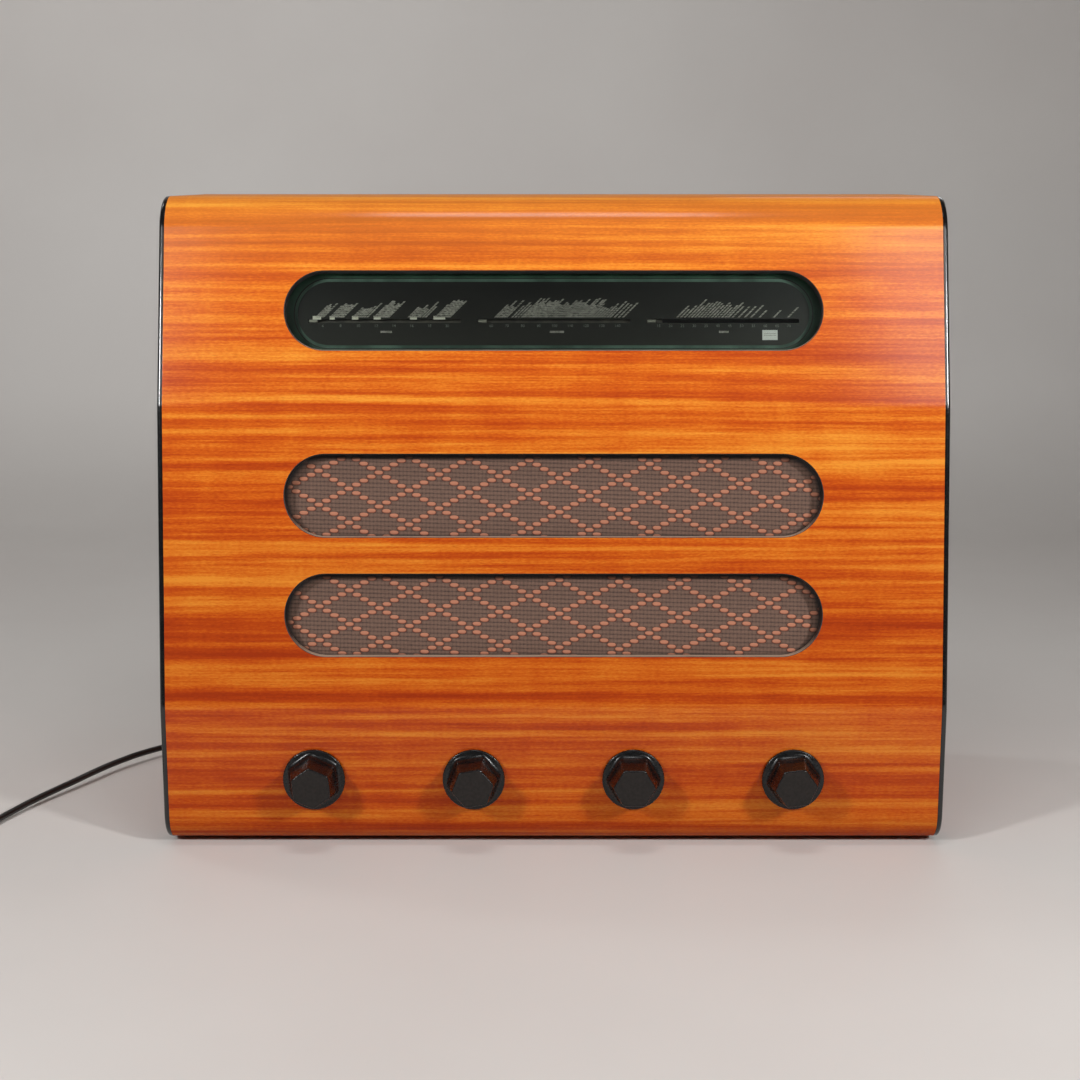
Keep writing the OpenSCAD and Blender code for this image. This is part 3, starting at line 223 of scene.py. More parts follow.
def along_side(tree):
    """The side panels' grain runs with the depth: Y becomes the length and Z the width."""
    place = add(tree, "ShaderNodeTexCoord", out="Object")
    along, across = (add(tree, "ShaderNodeSeparateXYZ", {0: place}, out=axis) for axis in "YZ")
    return add(tree, "ShaderNodeCombineXYZ", {0: along, 1: across})


def cloth_fields(tree, flat, cloth, front):
    """Five values of a point of the cloth. The first is how far inside the oval of a raised float
    it lies, above 0 inside, by the formula of float_heights, from its own cell and the nearest cell
    beside it. Then come its place up its own row, from -0.5 to 0.5, lines between the rows and
    between the threads, from 0 to 1, and the distance from the slot's long middle line."""
    right, above = (add(tree, "ShaderNodeSeparateXYZ", {0: flat}, out=axis) for axis in "XY")
    known = {"right": right, "above": above, "inside": -1.0}
    half = front.slot_pitch / 2 / math.cos(front.lean_low)
    core = (front.slot_length - front.grille_height) / 2
    # The slot's middle line is drawn low, so that the upper rim is nearer and its painted shadow wider
    lowered = 1.5 * MM
    # Each step is the name of its result, its operation, and names of results or numbers
    steps = [
        ("x", "SUBTRACT", "right", cloth.crossing_x),
        ("z", "SUBTRACT", "above", cloth.crossing_z),
        ("z", "MULTIPLY_ADD", "x", math.tan(cloth.droop), "z"),
        ("across", "DIVIDE", "x", cloth.step_across),
        ("up", "DIVIDE", "z", cloth.step_up),
        ("i", "ROUND", "across"),
        ("j", "ROUND", "up"),
        ("rise", "SUBTRACT", "up", "j"),
        ("side", "SUBTRACT", "across", "i"),
        ("side", "SIGN", "side"),
        ("beside", "ADD", "i", "side"),
    ]
    for column in ("i", "beside"):
        # A count goes to and fro between 0 and the steps, and a float lies where it is 0
        for count, way in (("sum", "ADD"), ("difference", "SUBTRACT")):
            steps += [(count, way, column, "j"), (count, "PINGPONG", count, cloth.steps)]
        steps += [("there", "MINIMUM", "sum", "difference"), ("there", "LESS_THAN", "there", 0.5)]
        left = 1.0
        for place, middle, (reach, power) in (("across", column, FLOAT_ACROSS), ("up", "j", FLOAT_UP)):
            steps += [("off", "SUBTRACT", place, middle), ("off", "ABSOLUTE", "off")]
            steps += [("off", "DIVIDE", "off", reach), ("off", "POWER", "off", power)]
            steps.append(("here", "SUBTRACT", left, "off"))
            left = "here"
        steps += [("here", "ADD", "here", 1.0), ("here", "MULTIPLY_ADD", "here", "there", -1.0)]
        steps.append(("inside", "MAXIMUM", "inside", "here"))
    for line, place, share in (("rows", "up", 1.0), ("threads", "across", 2.0)):
        steps += [(line, "MULTIPLY", place, share), (line, "PINGPONG", line, 0.5)]
        steps += [(line, "MULTIPLY", line, 2.0), (line, "POWER", line, 2.5)]
    steps += [
        ("past", "ABSOLUTE", "right"),
        ("past", "SUBTRACT", "past", core),
        ("past", "MAXIMUM", "past", 0.0),
        ("past", "MULTIPLY", "past", "past"),
        ("upper", "GREATER_THAN", "above", 0.0),
        ("high", "MULTIPLY_ADD", "upper", -2 * half, "above"),
        ("high", "ADD", "high", half + lowered),
        ("out", "MULTIPLY_ADD", "high", "high", "past"),
        ("out", "SQRT", "out"),
    ]
    for result, operation, *values in steps:
        inputs = {n: known.get(value, value) for n, value in enumerate(values)}
        known[result] = add(tree, "ShaderNodeMath", inputs, operation=operation)
    return [known[result] for result in ("inside", "rise", "rows", "threads", "out")]


def woven_grille(cloth, front):
    """Grille cloth: taupe cotton in a close plain weave, and copper-coloured floats in diamonds,
    each rounded, painted lighter at its crest and darker at its rim and lower half, and set off by
    brown shade painted between their ends. A painted shadow blackens it just inside the slots' rims,
    most under the upper rims, which gives the recess its depth."""
    material, tree, shader = blank("woven_grille_cotton", Roughness=0.85, Sheen_Weight=0.1)
    flat = along_uv(tree)
    inside, rise, lines, threads, out = cloth_fields(tree, flat, cloth, front)
    yarn = streaks(tree, flat, (0.004, 0.0011, 1), 3.0)
    fibre = streaks(tree, flat, (0.0012, 0.0006, 1), 2.0)
    for share, layer in ((0.3, threads), (0.45, yarn), (0.3, fibre)):
        lines = add(tree, "ShaderNodeMix", {0: share, 2: lines, 3: layer})
    tones = [(0.2, "#725749"), (0.4, "#5f473b"), (0.64, "#382820")]
    woven = add(tree, "ShaderNodeValToRGB", {0: lines}, tones)
    # crest sets the painted light on a float, and near the painted shade on the ground round its ends
    crest, near, edge = (
        add(tree, "ShaderNodeMapRange", {0: inside, 1: low, 2: high})
        for low, high in ((0.0, 0.6), (-0.6, -0.1), (-0.1, 0.12))
    )
    worn = add(tree, "ShaderNodeMix", {0: 0.35, 2: crest, 3: yarn})
    # Painted shade: a float is rounded, so its lower half is painted darker, as if turned from the light
    worn = add(tree, "ShaderNodeMath", {0: rise, 1: 0.85, 2: worn}, operation="MULTIPLY_ADD")
    # Painted light and shade: the tones stand for a float's shaded rim, its shade and its light
    tones = [(0.1, cloth.float_edge), (0.4, cloth.float_dark), (0.75, cloth.float_light)]
    copper = add(tree, "ShaderNodeValToRGB", {0: worn}, tones)
    # Painted shadow lies across the last few millimetres before the slot's rim
    rim = front.grille_height / 2
    reach = {0: out, 1: rim - 3.4 * MM, 2: rim - 0.2 * MM, 3: 0.0, 4: 0.93}
    painted_shading = add(tree, "ShaderNodeMapRange", reach)
    layers = ((near, cloth.painted_gap_shade, "MULTIPLY"), (edge, copper, "MIX"), (painted_shading, "#0b0908", "MIX"))
    for share, layer, way in layers:
        both = {0: share, 6: woven, 7: layer}
        woven = add(tree, "ShaderNodeMix", both, out=2, data_type="RGBA", blend_type=way)
    feed(shader.inputs["Base Color"], woven)
    relief(tree, shader, lines, -0.0002)
    return material


def scratched_black(name, colour, roughness, coat, shine=0.5):
    """Black phenolic moulding powder, or black lacquer: near black with a warm cast, and a polish
    that hair-fine scratches break up. roughness is its least and its greatest."""
    gloss = {"Coat_Weight": coat, "Coat_Roughness": 0.06, "Specular_IOR_Level": shine}
    material, tree, shader = blank(name, Base_Color=colour, **gloss)
    place = add(tree, "ShaderNodeTexCoord", out="Object")
    dust_and_sheen = streaks(tree, place, (0.004, 0.004, 0.0012), 6.0)
    worn = {0: dust_and_sheen, 1: 0.35, 2: 0.65, 3: roughness[0], 4: roughness[1]}
    feed(shader.inputs["Roughness"], add(tree, "ShaderNodeMapRange", worn))
    relief(tree, shader, dust_and_sheen, 0.00002)
    return material


def plywood(name):
    """Bare birch plywood and deal: pale, matt, with long faint grain."""
    return mottled(name, "#9c7444", "#c39a63", (0.05, 0.004, 0.004), 0.0002, 0.75)


def hardboard(name):
    """Pressed hardboard: brown, matt and fibrous, darker where fibres bunch."""
    material, tree, shader = blank(name, Roughness=0.8)
    place = add(tree, "ShaderNodeTexCoord", out="Object")
    fibre = streaks(tree, place, (0.003, 0.003, 0.0008), 6.0, 1.5)
    cloud = streaks(tree, place, (0.09, 0.09, 0.06), 2.0)
    shade = add(tree, "ShaderNodeMix", {0: 0.4, 2: fibre, 3: cloud})
    stops = [(0.34, "#5a3e28"), (0.5, "#80593a"), (0.66, "#9d754e")]
    ramp = add(tree, "ShaderNodeValToRGB", {0: shade}, stops)
    feed(shader.inputs["Base Color"], ramp)
    relief(tree, shader, fibre, 0.0003)
    return material


def enamel_with_painted_reflection(name):
    """Black enamel on the scale plate: deep and smooth, with a painted reflection that lightens it
    towards its foot.
    """
    material, tree, shader = blank(name, Roughness=0.3)
    place = add(tree, "ShaderNodeTexCoord", out="Object")
    up = add(tree, "ShaderNodeSeparateXYZ", {0: place}, out="Z")
    cloud = streaks(tree, place, (0.06, 0.02, 0.02), 4.0)
    # Heights between which the painted reflection grows
    reflection_free_height, painted_shading = 412 * MM, 372 * MM
    painted_reflection = add(tree, "ShaderNodeMapRange", {0: up, 1: reflection_free_height, 2: painted_shading, 3: 0.1, 4: 0.75})
    dust_and_sheen = add(tree, "ShaderNodeMix", {0: 0.25, 2: painted_reflection, 3: cloud})
    ramp = add(tree, "ShaderNodeValToRGB", {0: dust_and_sheen}, [(0.15, "#040504"), (0.7, "#302f2a")])
    feed(shader.inputs["Base Color"], ramp)
    return material


def clear_glass(name, tint, roughness):
    """Thin soda glass: light goes straight through with a faint tint, and the surface mirrors more
    the flatter one looks along it."""
    material, tree, shader = blank(name)
    through = add(tree, "ShaderNodeBsdfTransparent", {"Color": tint})
    mirror = add(tree, "ShaderNodeBsdfGlossy", {"Color": 1, "Roughness": roughness})
    steepness = add(tree, "ShaderNodeFresnel", {"IOR": 1.45})
    output = next(n for n in tree.nodes if n.type == "OUTPUT_MATERIAL")
    feed(output.inputs["Surface"], add(tree, "ShaderNodeMixShader", {0: steepness, 1: through, 2: mirror}))
    tree.nodes.remove(shader)
    return material


# Finishes whose colour drifts between two tones, by material slot: name, tones, size of a fleck in
# metres, height of the bump in metres, roughness, and 1 for metal
DRIFTING = {
    # Pressed wool felt: near black and without shine
    "felt": ("wool_felt", "#141210", "#2b2724", 0.002, 0.0004, 0.95),
    # Turned brass that has dulled: yellow metal under a brown bloom
    "brass": ("dulled_brass", "#7a5c2c", "#c49d58", 0.006, 0, 0.34, 1),
    # Zinc plated sheet steel: grey metal with a soft cloudy shine
    "plated_steel": ("zinc_plated_steel", "#75777a", "#a9abad", 0.02, 0, 0.38, 1),
    # Pressed paper cone: dark grey felted paper
    "cone_paper": ("pressed_cone_paper", "#1f1c1a", "#3a3531", 0.002, 0.0003, 0.9),
    # Cast magnet under grey hammer paint
    "cast_magnet": ("hammered_grey_paint", "#3c3e41", "#5d6064", 0.004, 0.0003, 0.4),
    # Transformer laminations under amber varnish: thin dark lines across the stack
    "laminated_core": ("varnished_laminations", "#332f2b", "#6a645d", (0.05, 0.0006, 0.05), 0.0002, 0.4),
    # Cream enamel on the pointers
    "pointer_cream": ("cream_enamel", "#8f8c80", "#a9a698", 0.01, 0, 0.4),
    # Waxed braided drive cord
    "drive_cord": ("waxed_cord", "#6a5a38", "#9a8a62", 0.0015, 0.0002, 0.7),
    # Varnished paper and cloth tape over a winding
    "winding_paper": ("varnished_paper", "#5c4020", "#8a6734", (0.03, 0.03, 0.001), 0.0003, 0.55),
    # Drawn aluminium can: pale satin metal
    "aluminium_can": ("drawn_aluminium", "#a3a6a8", "#c9cbcc", (0.003, 0.003, 0.03), 0, 0.32, 1),
    # Paper-based phenolic board: brown with a dull gloss
    "laminate": ("phenolic_board", "#2c1d12", "#4a3220", 0.01, 0, 0.45),
    # Black rubber: soft grey-black
    "black_rubber": ("black_rubber", "#0d0d0d", "#1b1b1a", 0.003, 0.0001, 0.55),
    # Smooth plastic flex: black with a soft sheen
    "flex": ("black_flex", "#080808", "#121212", 0.004, 0, 0.33),
    # Waxed linen tape: brown, matt and finely ribbed
    "tie_strap": ("waxed_tape", "#33261a", "#544030", 0.001, 0.0002, 0.75),
}


def finishes():
    """The finish of each material slot in the record, for the CAD nodes that stay in view."""
    made = {slot: mottled(*row) for slot, row in DRIFTING.items()}
    made["veneer"] = polished_veneer("polished_side_veneer", along_side, SIDE_TONES)
    made["plywood"] = plywood("birch_plywood")
    made["hardboard"] = hardboard("pressed_hardboard")
    made["dial_black"] = enamel_with_painted_reflection("black_enamel")
    made["dial_glass"] = clear_glass("float_glass", "#f3f6f4", 0.0)
    made["clear_glass"] = clear_glass("blown_glass", "#e8eeee", 0.02)
    made["black_lacquer"] = scratched_black("ebonised_lacquer", "#100e0d", (0.12, 0.3), 0.6)
    made["black_moulding"] = scratched_black("black_phenolic", "#121010", (0.2, 0.36), 0.2)
    made["knob_moulding"] = scratched_black("polished_phenolic", "#141211", (0.1, 0.22), 0.6)
    return made


# Meshes


def grid_faces(rows, columns, closed=False):
    """Quads of a grid of points, row by row. A closed one joins its last column to its first."""
    i, j = np.meshgrid(np.arange(rows - 1), np.arange(columns - (not closed)), indexing="ij")
    k = (j + 1) % columns
    corners = (i * columns + j, i * columns + k, (i + 1) * columns + k, (i + 1) * columns + j)
    return np.stack(corners, -1).reshape(-1, 4)


def volume(points, faces):
    """Signed volume inside quads: the sum over their triangles of a . (b x c) / 6."""
    a, b, c, d = (points[faces[:, n]] for n in range(4))
    return (np.einsum("ij,ij", a, np.cross(b, c)) + np.einsum("ij,ij", a, np.cross(c, d))) / 6


def linked(name, data):
    """A new object with that data, in the scene."""
    made = bpy.data.objects.new(name, data)
    bpy.context.scene.collection.objects.link(made)
    return made


def piece(name, points, faces, slot, stands_for, materials=(), body="cabinet", uv=None, index=None):
    """Makes an object of quads: points that meet are welded, corners that repeat are dropped, and
    the faces are turned outwards. It has its slot's finish or the materials, of which index picks
    one for each face, and uv goes with the points."""
    points = np.asarray(points, float)
    if volume(points, faces) < 0:
        faces = faces[:, ::-1]
    places = np.round(points * 1e7).astype(np.int64)
    _, first, merged = np.unique(places, axis=0, return_index=True, return_inverse=True)
    corners = [list(dict.fromkeys(f)) for f in merged.reshape(-1)[faces].tolist()]
    keep = [n for n, f in enumerate(corners) if len(f) > 2]
    mesh = bpy.data.meshes.new(name)
    mesh.from_pydata(points[first].tolist(), [], [corners[n] for n in keep])
    for material in materials or [FINISH_OF[slot]]:
        mesh.materials.append(material)
    if index is not None:
        mesh.polygons.foreach_set("material_index", np.asarray(index, np.int32)[keep])
    if uv is not None:
        loops = np.zeros(len(mesh.loops), np.int32)
        mesh.loops.foreach_get("vertex_index", loops)
        layer = mesh.uv_layers.new(name="UVMap")
        layer.data.foreach_set("uv", np.asarray(uv)[first][loops].astype(np.float32).ravel())
    mesh.polygons.foreach_set("use_smooth", np.ones(len(mesh.polygons), bool))
    mesh.update()
    mesh.set_sharp_from_angle(angle=math.radians(45))
    made = linked(name, mesh)
    # Large faces keep their own normals beside small rounded edges
    made.modifiers.new("normals", "WEIGHTED_NORMAL").keep_sharp = True
    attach(made, body)
    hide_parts(*stands_for)
    return made


def joined(parts):
    """Several (points, faces) as one."""
    starts = np.cumsum([0] + [len(p) for p, _ in parts[:-1]])
    return np.vstack([p for p, _ in parts]), np.vstack([f + n for (_, f), n in zip(parts, starts)])


def capped(points, rows, columns):
    """A tube of closed rings, row by row, with a fan to each end ring's middle."""
    rings = points.reshape(rows, columns, 3)
    middles = np.repeat(rings[[0, -1]].mean(1), columns, 0).reshape(2, columns, 3)
    fan = grid_faces(2, columns, True)
    ends = [(np.vstack([middles[0], rings[0]]), fan), (np.vstack([rings[-1], middles[1]]), fan)]
    return joined([(points, grid_faces(rows, columns, True)), *ends])


def turned(profile, sides, centre, axis):
    """A turned piece: each row of profile is a radius and a distance along the axis from centre."""
    axis = np.array(axis, float)
    across = np.cross(axis, [0, 0, 1])
    across /= np.linalg.norm(across)
    up = np.cross(across, axis)
    turn = np.linspace(0, 2 * math.pi, sides, endpoint=False)
    around = np.cos(turn)[:, None] * across + np.sin(turn)[:, None] * up
    profile = np.asarray(profile, float)
    points = profile[:, 0, None, None] * around + profile[:, 1, None, None] * axis + np.array(centre)
    return points.reshape(-1, 3), grid_faces(len(profile), sides, True)


def corner(centre, radius, start, end, steps):
    """Points of an arc round centre, angles in degrees."""
    a = np.radians(np.linspace(start, end, steps + 1))
    return np.stack([centre[0] + radius * np.cos(a), centre[1] + radius * np.sin(a)], -1)


# Sizes


def length(name, description, size):
    """A length given in millimetres."""
    return FloatProperty(name=name, description=description, default=size * MM, unit="LENGTH")


def slope(name, description, degrees):
    """An angle given in degrees."""
    return FloatProperty(
        name=name, description=description, default=math.radians(degrees), subtype="ANGLE"
    )


def hex_colour(name, description, code):
    """A colour given as an sRGB hex value."""
    return FloatVectorProperty(
        name=name, description=description, default=linear(code), subtype="COLOR", min=0, max=1
    )


class FrontSizes(bpy.types.PropertyGroup):
    """Outline of the bent front sheet and its slots"""

    knee_low: length("Lower bend", "Height where the front starts to lean back", 107)
    knee_high: length("Upper bend", "Height where it starts to lean back further", 326)
    lean_low: slope("Grille lean", "Lean of the grille part", 8)
    lean_high: slope("Dial lean", "Lean of the dial part", 14.5)
    knee_radius: length("Bend radius", "Radius of the two bends", 60)
    top_radius: length("Top radius", "Radius where the front rolls into the top", 30)
    toe_radius: length("Foot radius", "Radius where the front rolls under", 22)
    lip: length("Lip", "Length of the lip under the cabinet", 36)
    thickness: length("Sheet", "Thickness of the bent plywood", 9)
    slot_length: length("Slot length", "Length of the three slots", 394)
    dial_height: length("Dial slot", "Height of the dial slot", 58)
    grille_height: length("Speaker slot", "Height of each speaker slot", 60)
    dial_middle: length("Dial middle", "Height of the dial slot's middle", 396)
    slot_pitch: length("Slot pitch", "Distance from one speaker slot to the other", 87)
    grille_middle: length("Grille middle", "Height halfway between the speaker slots", 219.5)
    edge_round: length("Slot rounding", "Rounding of the slots' edges", 0.8)
    bead_width: length("Bead", "Width of the black edge bead", 4)
    bead_round: length("Bead rounding", "Rounding of the bead's outer edge", 2.5)


class KnobSizes(bpy.types.PropertyGroup):
    """The four control knobs"""

    skirt: length("Skirt", "Diameter of the round skirt", 46)
    skirt_thickness: length("Skirt thickness", "Thickness of the skirt at its middle", 5)
    height: length("Height", "Height of a knob off its back", 23)
    root: length("Grip root", "Width across flats where the grip meets the skirt", 32)
    face: length("Grip face", "Width across flats at the face", 27.5)
    sharpness: FloatProperty(
        name="Corners", description="Power of the norm that rounds the grip's corners", default=26
    )


class ClothSizes(bpy.types.PropertyGroup):
    """The woven grille cloth"""

    width: length("Width", "Width of the cloth", 414)
    height: length("Height", "Height of the cloth", 167.8)
    step_across: length("Float pitch across", "Distance from float to float across", 5.54)
    step_up: length("Float pitch up", "Distance from float to float upwards", 3.13)
    steps: IntProperty(name="Steps", description="Floats from crossing to crossing", default=4)
    raise_by: length("Float height", "How far the floats stand up", 0.32)
    crossing_x: length("Crossing across", "Place across of one crossing of the diamonds", -17.9)
    crossing_z: length("Crossing up", "Place of that crossing up the cloth", -5.4)
    droop: slope("Droop", "How far the cross threads fall to the right", 1.75)
    # The floats' copper in painted light and shade: its shaded rim, its shade and its light
    float_edge: hex_colour("Float edge", "Copper-coloured floats at their rims", "#5a2c1b")
    float_dark: hex_colour("Float shade", "Copper-coloured floats in shade", "#834a34")
    float_light: hex_colour("Float light", "Copper-coloured floats in light", "#a86e54")
    # Painted shade: this tone darkens the ground where shade falls round the floats' ends
    painted_gap_shade: hex_colour("Float gap", "Multiplies the ground between the ends of the floats", "#a87456")


class DialSizes(bpy.types.PropertyGroup):
    """Print of the dial"""

    print_depth: length("Print depth", "Depth of the print behind the face", 12.26)
    scale_length: length("Scale length", "Length of each scale", 105)
    scale_pitch: length("Scale pitch", "Distance from scale to scale", 125)
    baseline: length("Baseline", "Height of the scale lines from the dial's middle", -5.5)


class LeadSizes(bpy.types.PropertyGroup):
    """The mains lead and its coil"""

    diameter: length("Diameter", "Diameter of the flex", 5)
    pitch: length("Coil pitch", "Distance from turn to turn in the coil", 5.6)
    inner: length("Inner radius", "Radius of the innermost turn", 20)
    turns: FloatProperty(name="Turns", description="Turns in each of the coil's two layers", default=3.5)
    plug_radius: length("Plug radius", "Largest radius of the plug", 14)
    plug_length: length("Plug length", "Length of the plug's body", 38)


class StageSizes(bpy.types.PropertyGroup):
    """Camera of the stage"""

    lens: FloatProperty(name="Lens", description="Focal length on a 36 mm sensor", default=62.0)
    pitch: slope("Pitch", "How far the camera looks down", 11)
    stand_off: length("Stand-off", "Distance of the camera before the front", 1320)
    height: length("Height", "Height of the camera", 492)
    aside: length("Aside", "Place of the camera from side to side", -10)


# Front sheet, beads


def heading_vector(angle):
    """Unit vector, or vectors, of that heading."""
    return np.stack([np.cos(angle), np.sin(angle)], -1)


def outline_runs(sizes):
    """Straight runs and bends of the front outline, from the lip's edge to the top's back edge.
    Each is its start and length along the outline, its first point as (behind the front, height),
    its heading, and its radius, which is 0 on a straight run. The outline turns clockwise."""
    rise = sizes.knee_high - sizes.knee_low
    top, back = SHEET_HIGH.z, SHEET_HIGH.y - FRONT_Y
    high_b = rise * math.tan(sizes.lean_low)
    top_b = high_b + (top - sizes.knee_high) * math.tan(sizes.lean_high)
    headings = [math.pi, math.pi / 2, math.pi / 2 - sizes.lean_low, math.pi / 2 - sizes.lean_high, 0.0]
    corners = [(0, SHEET_LOW.z), (0, sizes.knee_low), (high_b, sizes.knee_high), (top_b, top)]
    radii = [sizes.toe_radius, sizes.knee_radius, sizes.knee_radius, sizes.top_radius]
    at, along, runs = np.array([sizes.lip, SHEET_LOW.z]), 0.0, []
    for n, (point, radius) in enumerate(zip(corners, radii)):
        turn = headings[n] - headings[n + 1]
        tangent = radius * math.tan(turn / 2)
        start = np.array(point) - tangent * heading_vector(headings[n])
        run = float(np.linalg.norm(start - at))
        runs.append((along, run, at, headings[n], 0.0))
        runs.append((along + run, radius * turn, start, headings[n], radius))
        along += run + radius * turn
        at = np.array(point) + tangent * heading_vector(headings[n + 1])
    runs.append((along, back - at[0], at, headings[-1], 0.0))
    return runs


def on_outline(runs, s, depth):
    """Point behind the front and height at length s along the outline and that depth inside it.
    A straight run gives p + s h, a bend c + r n, with n turning with the heading, and the depth is
    taken off along the inward normal."""
    s, depth = np.broadcast_arrays(np.asarray(s, float), np.asarray(depth, float))
    point = np.zeros((*s.shape, 2))
    for start, run, at, heading, radius in runs:
        here = s >= start - 1e-9
        t = np.clip(s - start, 0, run)
        angle = heading - (t / radius if radius else 0 * t)
        inward = heading_vector(angle - math.pi / 2)
        if radius:
            centre = at + radius * heading_vector(np.array(heading - math.pi / 2))
            line = centre - radius * inward
        else:
            line = at + t[..., None] * heading_vector(np.array(heading))
        point = np.where(here[..., None], line + depth[..., None] * inward, point)
    return point


def length_at_height(runs, z):
    """Length along the outline at which the front has that height."""
    s = np.linspace(runs[1][0] + runs[1][1] / 2, runs[-1][0], 40001)
    return float(np.interp(z, on_outline(runs, s, 0)[:, 1], s))


def bend_lines(runs, step):
    """Lengths along the outline: both ends of each run, and points a step in radians apart in bends."""
    lines = [np.array([runs[-1][0] + runs[-1][1]])]
    for start, run, _, _, radius in runs:
        count = max(1, math.ceil(run / radius / step)) if radius else 1
        lines.append(start + run * np.arange(count) / count)
    return np.unique(np.round(np.concatenate(lines), 7))


def ring_round_hole(xs, ss, core, radius, thickness, rounding):
    """Band from a rectangle's edge to a stadium hole, through the hole's wall and back to the
    rectangle on the inside. Each of the rectangle's points P has its nearest point Q on the hole:
    the core segment's nearest point plus the radius towards P. Rows go from P to Q."""
    x0, x1, s0, s1 = xs[0], xs[-1], ss[0], ss[-1]
    top, right = (xs, np.full_like(xs, s1)), (np.full_like(ss, x1), ss[::-1])
    foot, left = (xs[::-1], np.full_like(xs, s0)), (np.full_like(ss, x0), ss)
    loop = np.vstack([np.stack(side, -1)[:-1] for side in (top, right, foot, left)])
    middle = np.array([(x0 + x1) / 2, (s0 + s1) / 2])
    off = loop - middle
    near = np.stack([np.clip(off[:, 0], -core, core), 0 * off[:, 1]], -1)
    out = off - near
    far = np.linalg.norm(out, axis=1)
    out /= far[:, None]
    room = far - radius
    # Distance from the hole's wall and depth of each row: along the outer skin, then round the edge
    bend = np.radians(np.linspace(0, 90, 5))
    edge = [room, room * 0.5] + [np.minimum(k * rounding, room * 0.4) for k in (4, 1.5)]
    skin = len(edge)
    edge += [away + 0 * room for away in rounding * (1 - np.sin(bend))]
    depth = [0.0] * skin + list(rounding * (1 - np.cos(bend)))
    edge += edge[::-1]
    depth += [thickness - d for d in depth[::-1]]
    rows = []
    for e, d in zip(edge, depth):
        rows.append(np.column_stack([middle + near + out * (radius + e)[:, None], 0 * e + d]))
    band = np.arange(len(rows) - 1)
    wall = (band >= skin) & (band < len(rows) - skin - 1)
    index = np.where(wall, 1, np.where(band > len(rows) / 2 - 1, 2, 0))
    return np.vstack(rows), grid_faces(len(rows), len(loop), True), np.repeat(index, len(loop))


def flat_cells(xs, ss, thickness):
    """Outer and inner skin of a rectangle of the sheet, the inner one with its faces reversed."""
    x, s = np.meshgrid(xs, ss)
    faces = grid_faces(len(ss), len(xs))
    outer = np.column_stack([x.ravel(), s.ravel(), 0 * x.ravel()])
    inner = outer + [0, 0, thickness]
    points, both = joined([(outer, faces[:, ::-1]), (inner, faces)])
    return points, both, np.repeat([0, 2], len(faces))


def edge_strip(path, thickness):
    """Wall through the sheet's thickness along a line of (x, s) points."""
    rows = np.vstack([np.column_stack([path, np.full(len(path), d)]) for d in (0.0, thickness)])
    faces = grid_faces(2, len(path))
    return rows, faces, np.full(len(faces), 1)


def front_sheet(sizes):
    """The sheet with its slots and spindle holes, as cells in (x, length along the outline, depth):
    a plain grid where it has no hole, and a ring round each hole, on one set of shared lines."""
    runs = outline_runs(sizes)
    half, t = SHEET_HIGH.x, sizes.thickness
    # Room left round a slot and round a spindle, the spindle's hole, and how near counts as the same
    margin, pad, spindle = 13 * MM, 15 * MM, 5 * MM
    same = 1e-6
    slots = [(sizes.dial_middle, sizes.dial_height)]
    slots += [(sizes.grille_middle + way * sizes.slot_pitch / 2, sizes.grille_height) for way in (1, -1)]
    reach = sizes.slot_length / 2 + margin
    core = (sizes.slot_length - sizes.grille_height) / 2
    knobs = [AXLES[c][0] for c in CONTROLS]
    lines = [np.linspace(-half, -reach, 3), np.linspace(reach, half, 3)]
    lines += [s * np.linspace(core, reach, 11) for s in (-1, 1)]
    lines += [np.linspace(x - pad, x + pad, 9) for x in knobs]
    xs = np.unique(np.round(np.concatenate([*lines, np.linspace(-core, core, 9)]), 7))
    rows = [(length_at_height(runs, z), h / 2 + margin, h / 2, [0.0], 20) for z, h in slots]
    rows.append((length_at_height(runs, AXLES["volume"][2]), pad, spindle, knobs, 8))
    plain = bend_lines(runs, math.radians(2))
    cells, at = [], 0.0
    for middle, up, radius, centres, count in sorted(rows):
        low, high = round(middle - up, 7), round(middle + up, 7)
        below = plain[(plain > at + 10 * same) & (plain < low - 10 * same)]
        cells.append(flat_cells(xs, np.concatenate([[at], below, [low]]), t))
        ss = np.linspace(low, high, count + 1)
        slot = radius > pad
        width, straight = (reach, sizes.slot_length / 2 - radius) if slot else (pad, 0.0)
        left = xs[0]
        for centre in centres:
            inside = xs[(xs > centre - width - same) & (xs < centre + width + same)]
            cells.append(flat_cells(xs[(xs > left - same) & (xs < inside[0] + same)], ss, t))
            ring = ring_round_hole(inside - centre, ss, straight, radius, t, sizes.edge_round)
            ring[0][:, 0] += centre
            cells.append(ring)
            left = inside[-1]
        cells.append(flat_cells(xs[xs > left - same], ss, t))
        at = high
    above = plain[plain > at + 10 * same]
    cells.append(flat_cells(xs, np.concatenate([[at], above]), t))
    points = np.vstack([c[0] for c in cells])
    ss = np.unique(np.round(points[np.abs(points[:, 0] - xs[0]) < same][:, 1], 7))
    right = np.column_stack([np.full_like(ss, xs[-1]), ss])
    left = np.column_stack([np.full_like(ss, xs[0]), ss])[::-1]
    lip = np.column_stack([xs, 0 * xs])
    back = np.column_stack([xs, np.full_like(xs, ss[-1])])[::-1]
    cells += [edge_strip(path, t) for path in (lip, right, back, left)]
    flat, faces = joined([(p, f) for p, f, _ in cells])
    place = on_outline(runs, flat[:, 1], flat[:, 2])
    points = np.column_stack([flat[:, 0], FRONT_Y + place[:, 0], place[:, 1]])
    return points, faces, np.concatenate([c[2] for c in cells]), flat[:, :2]


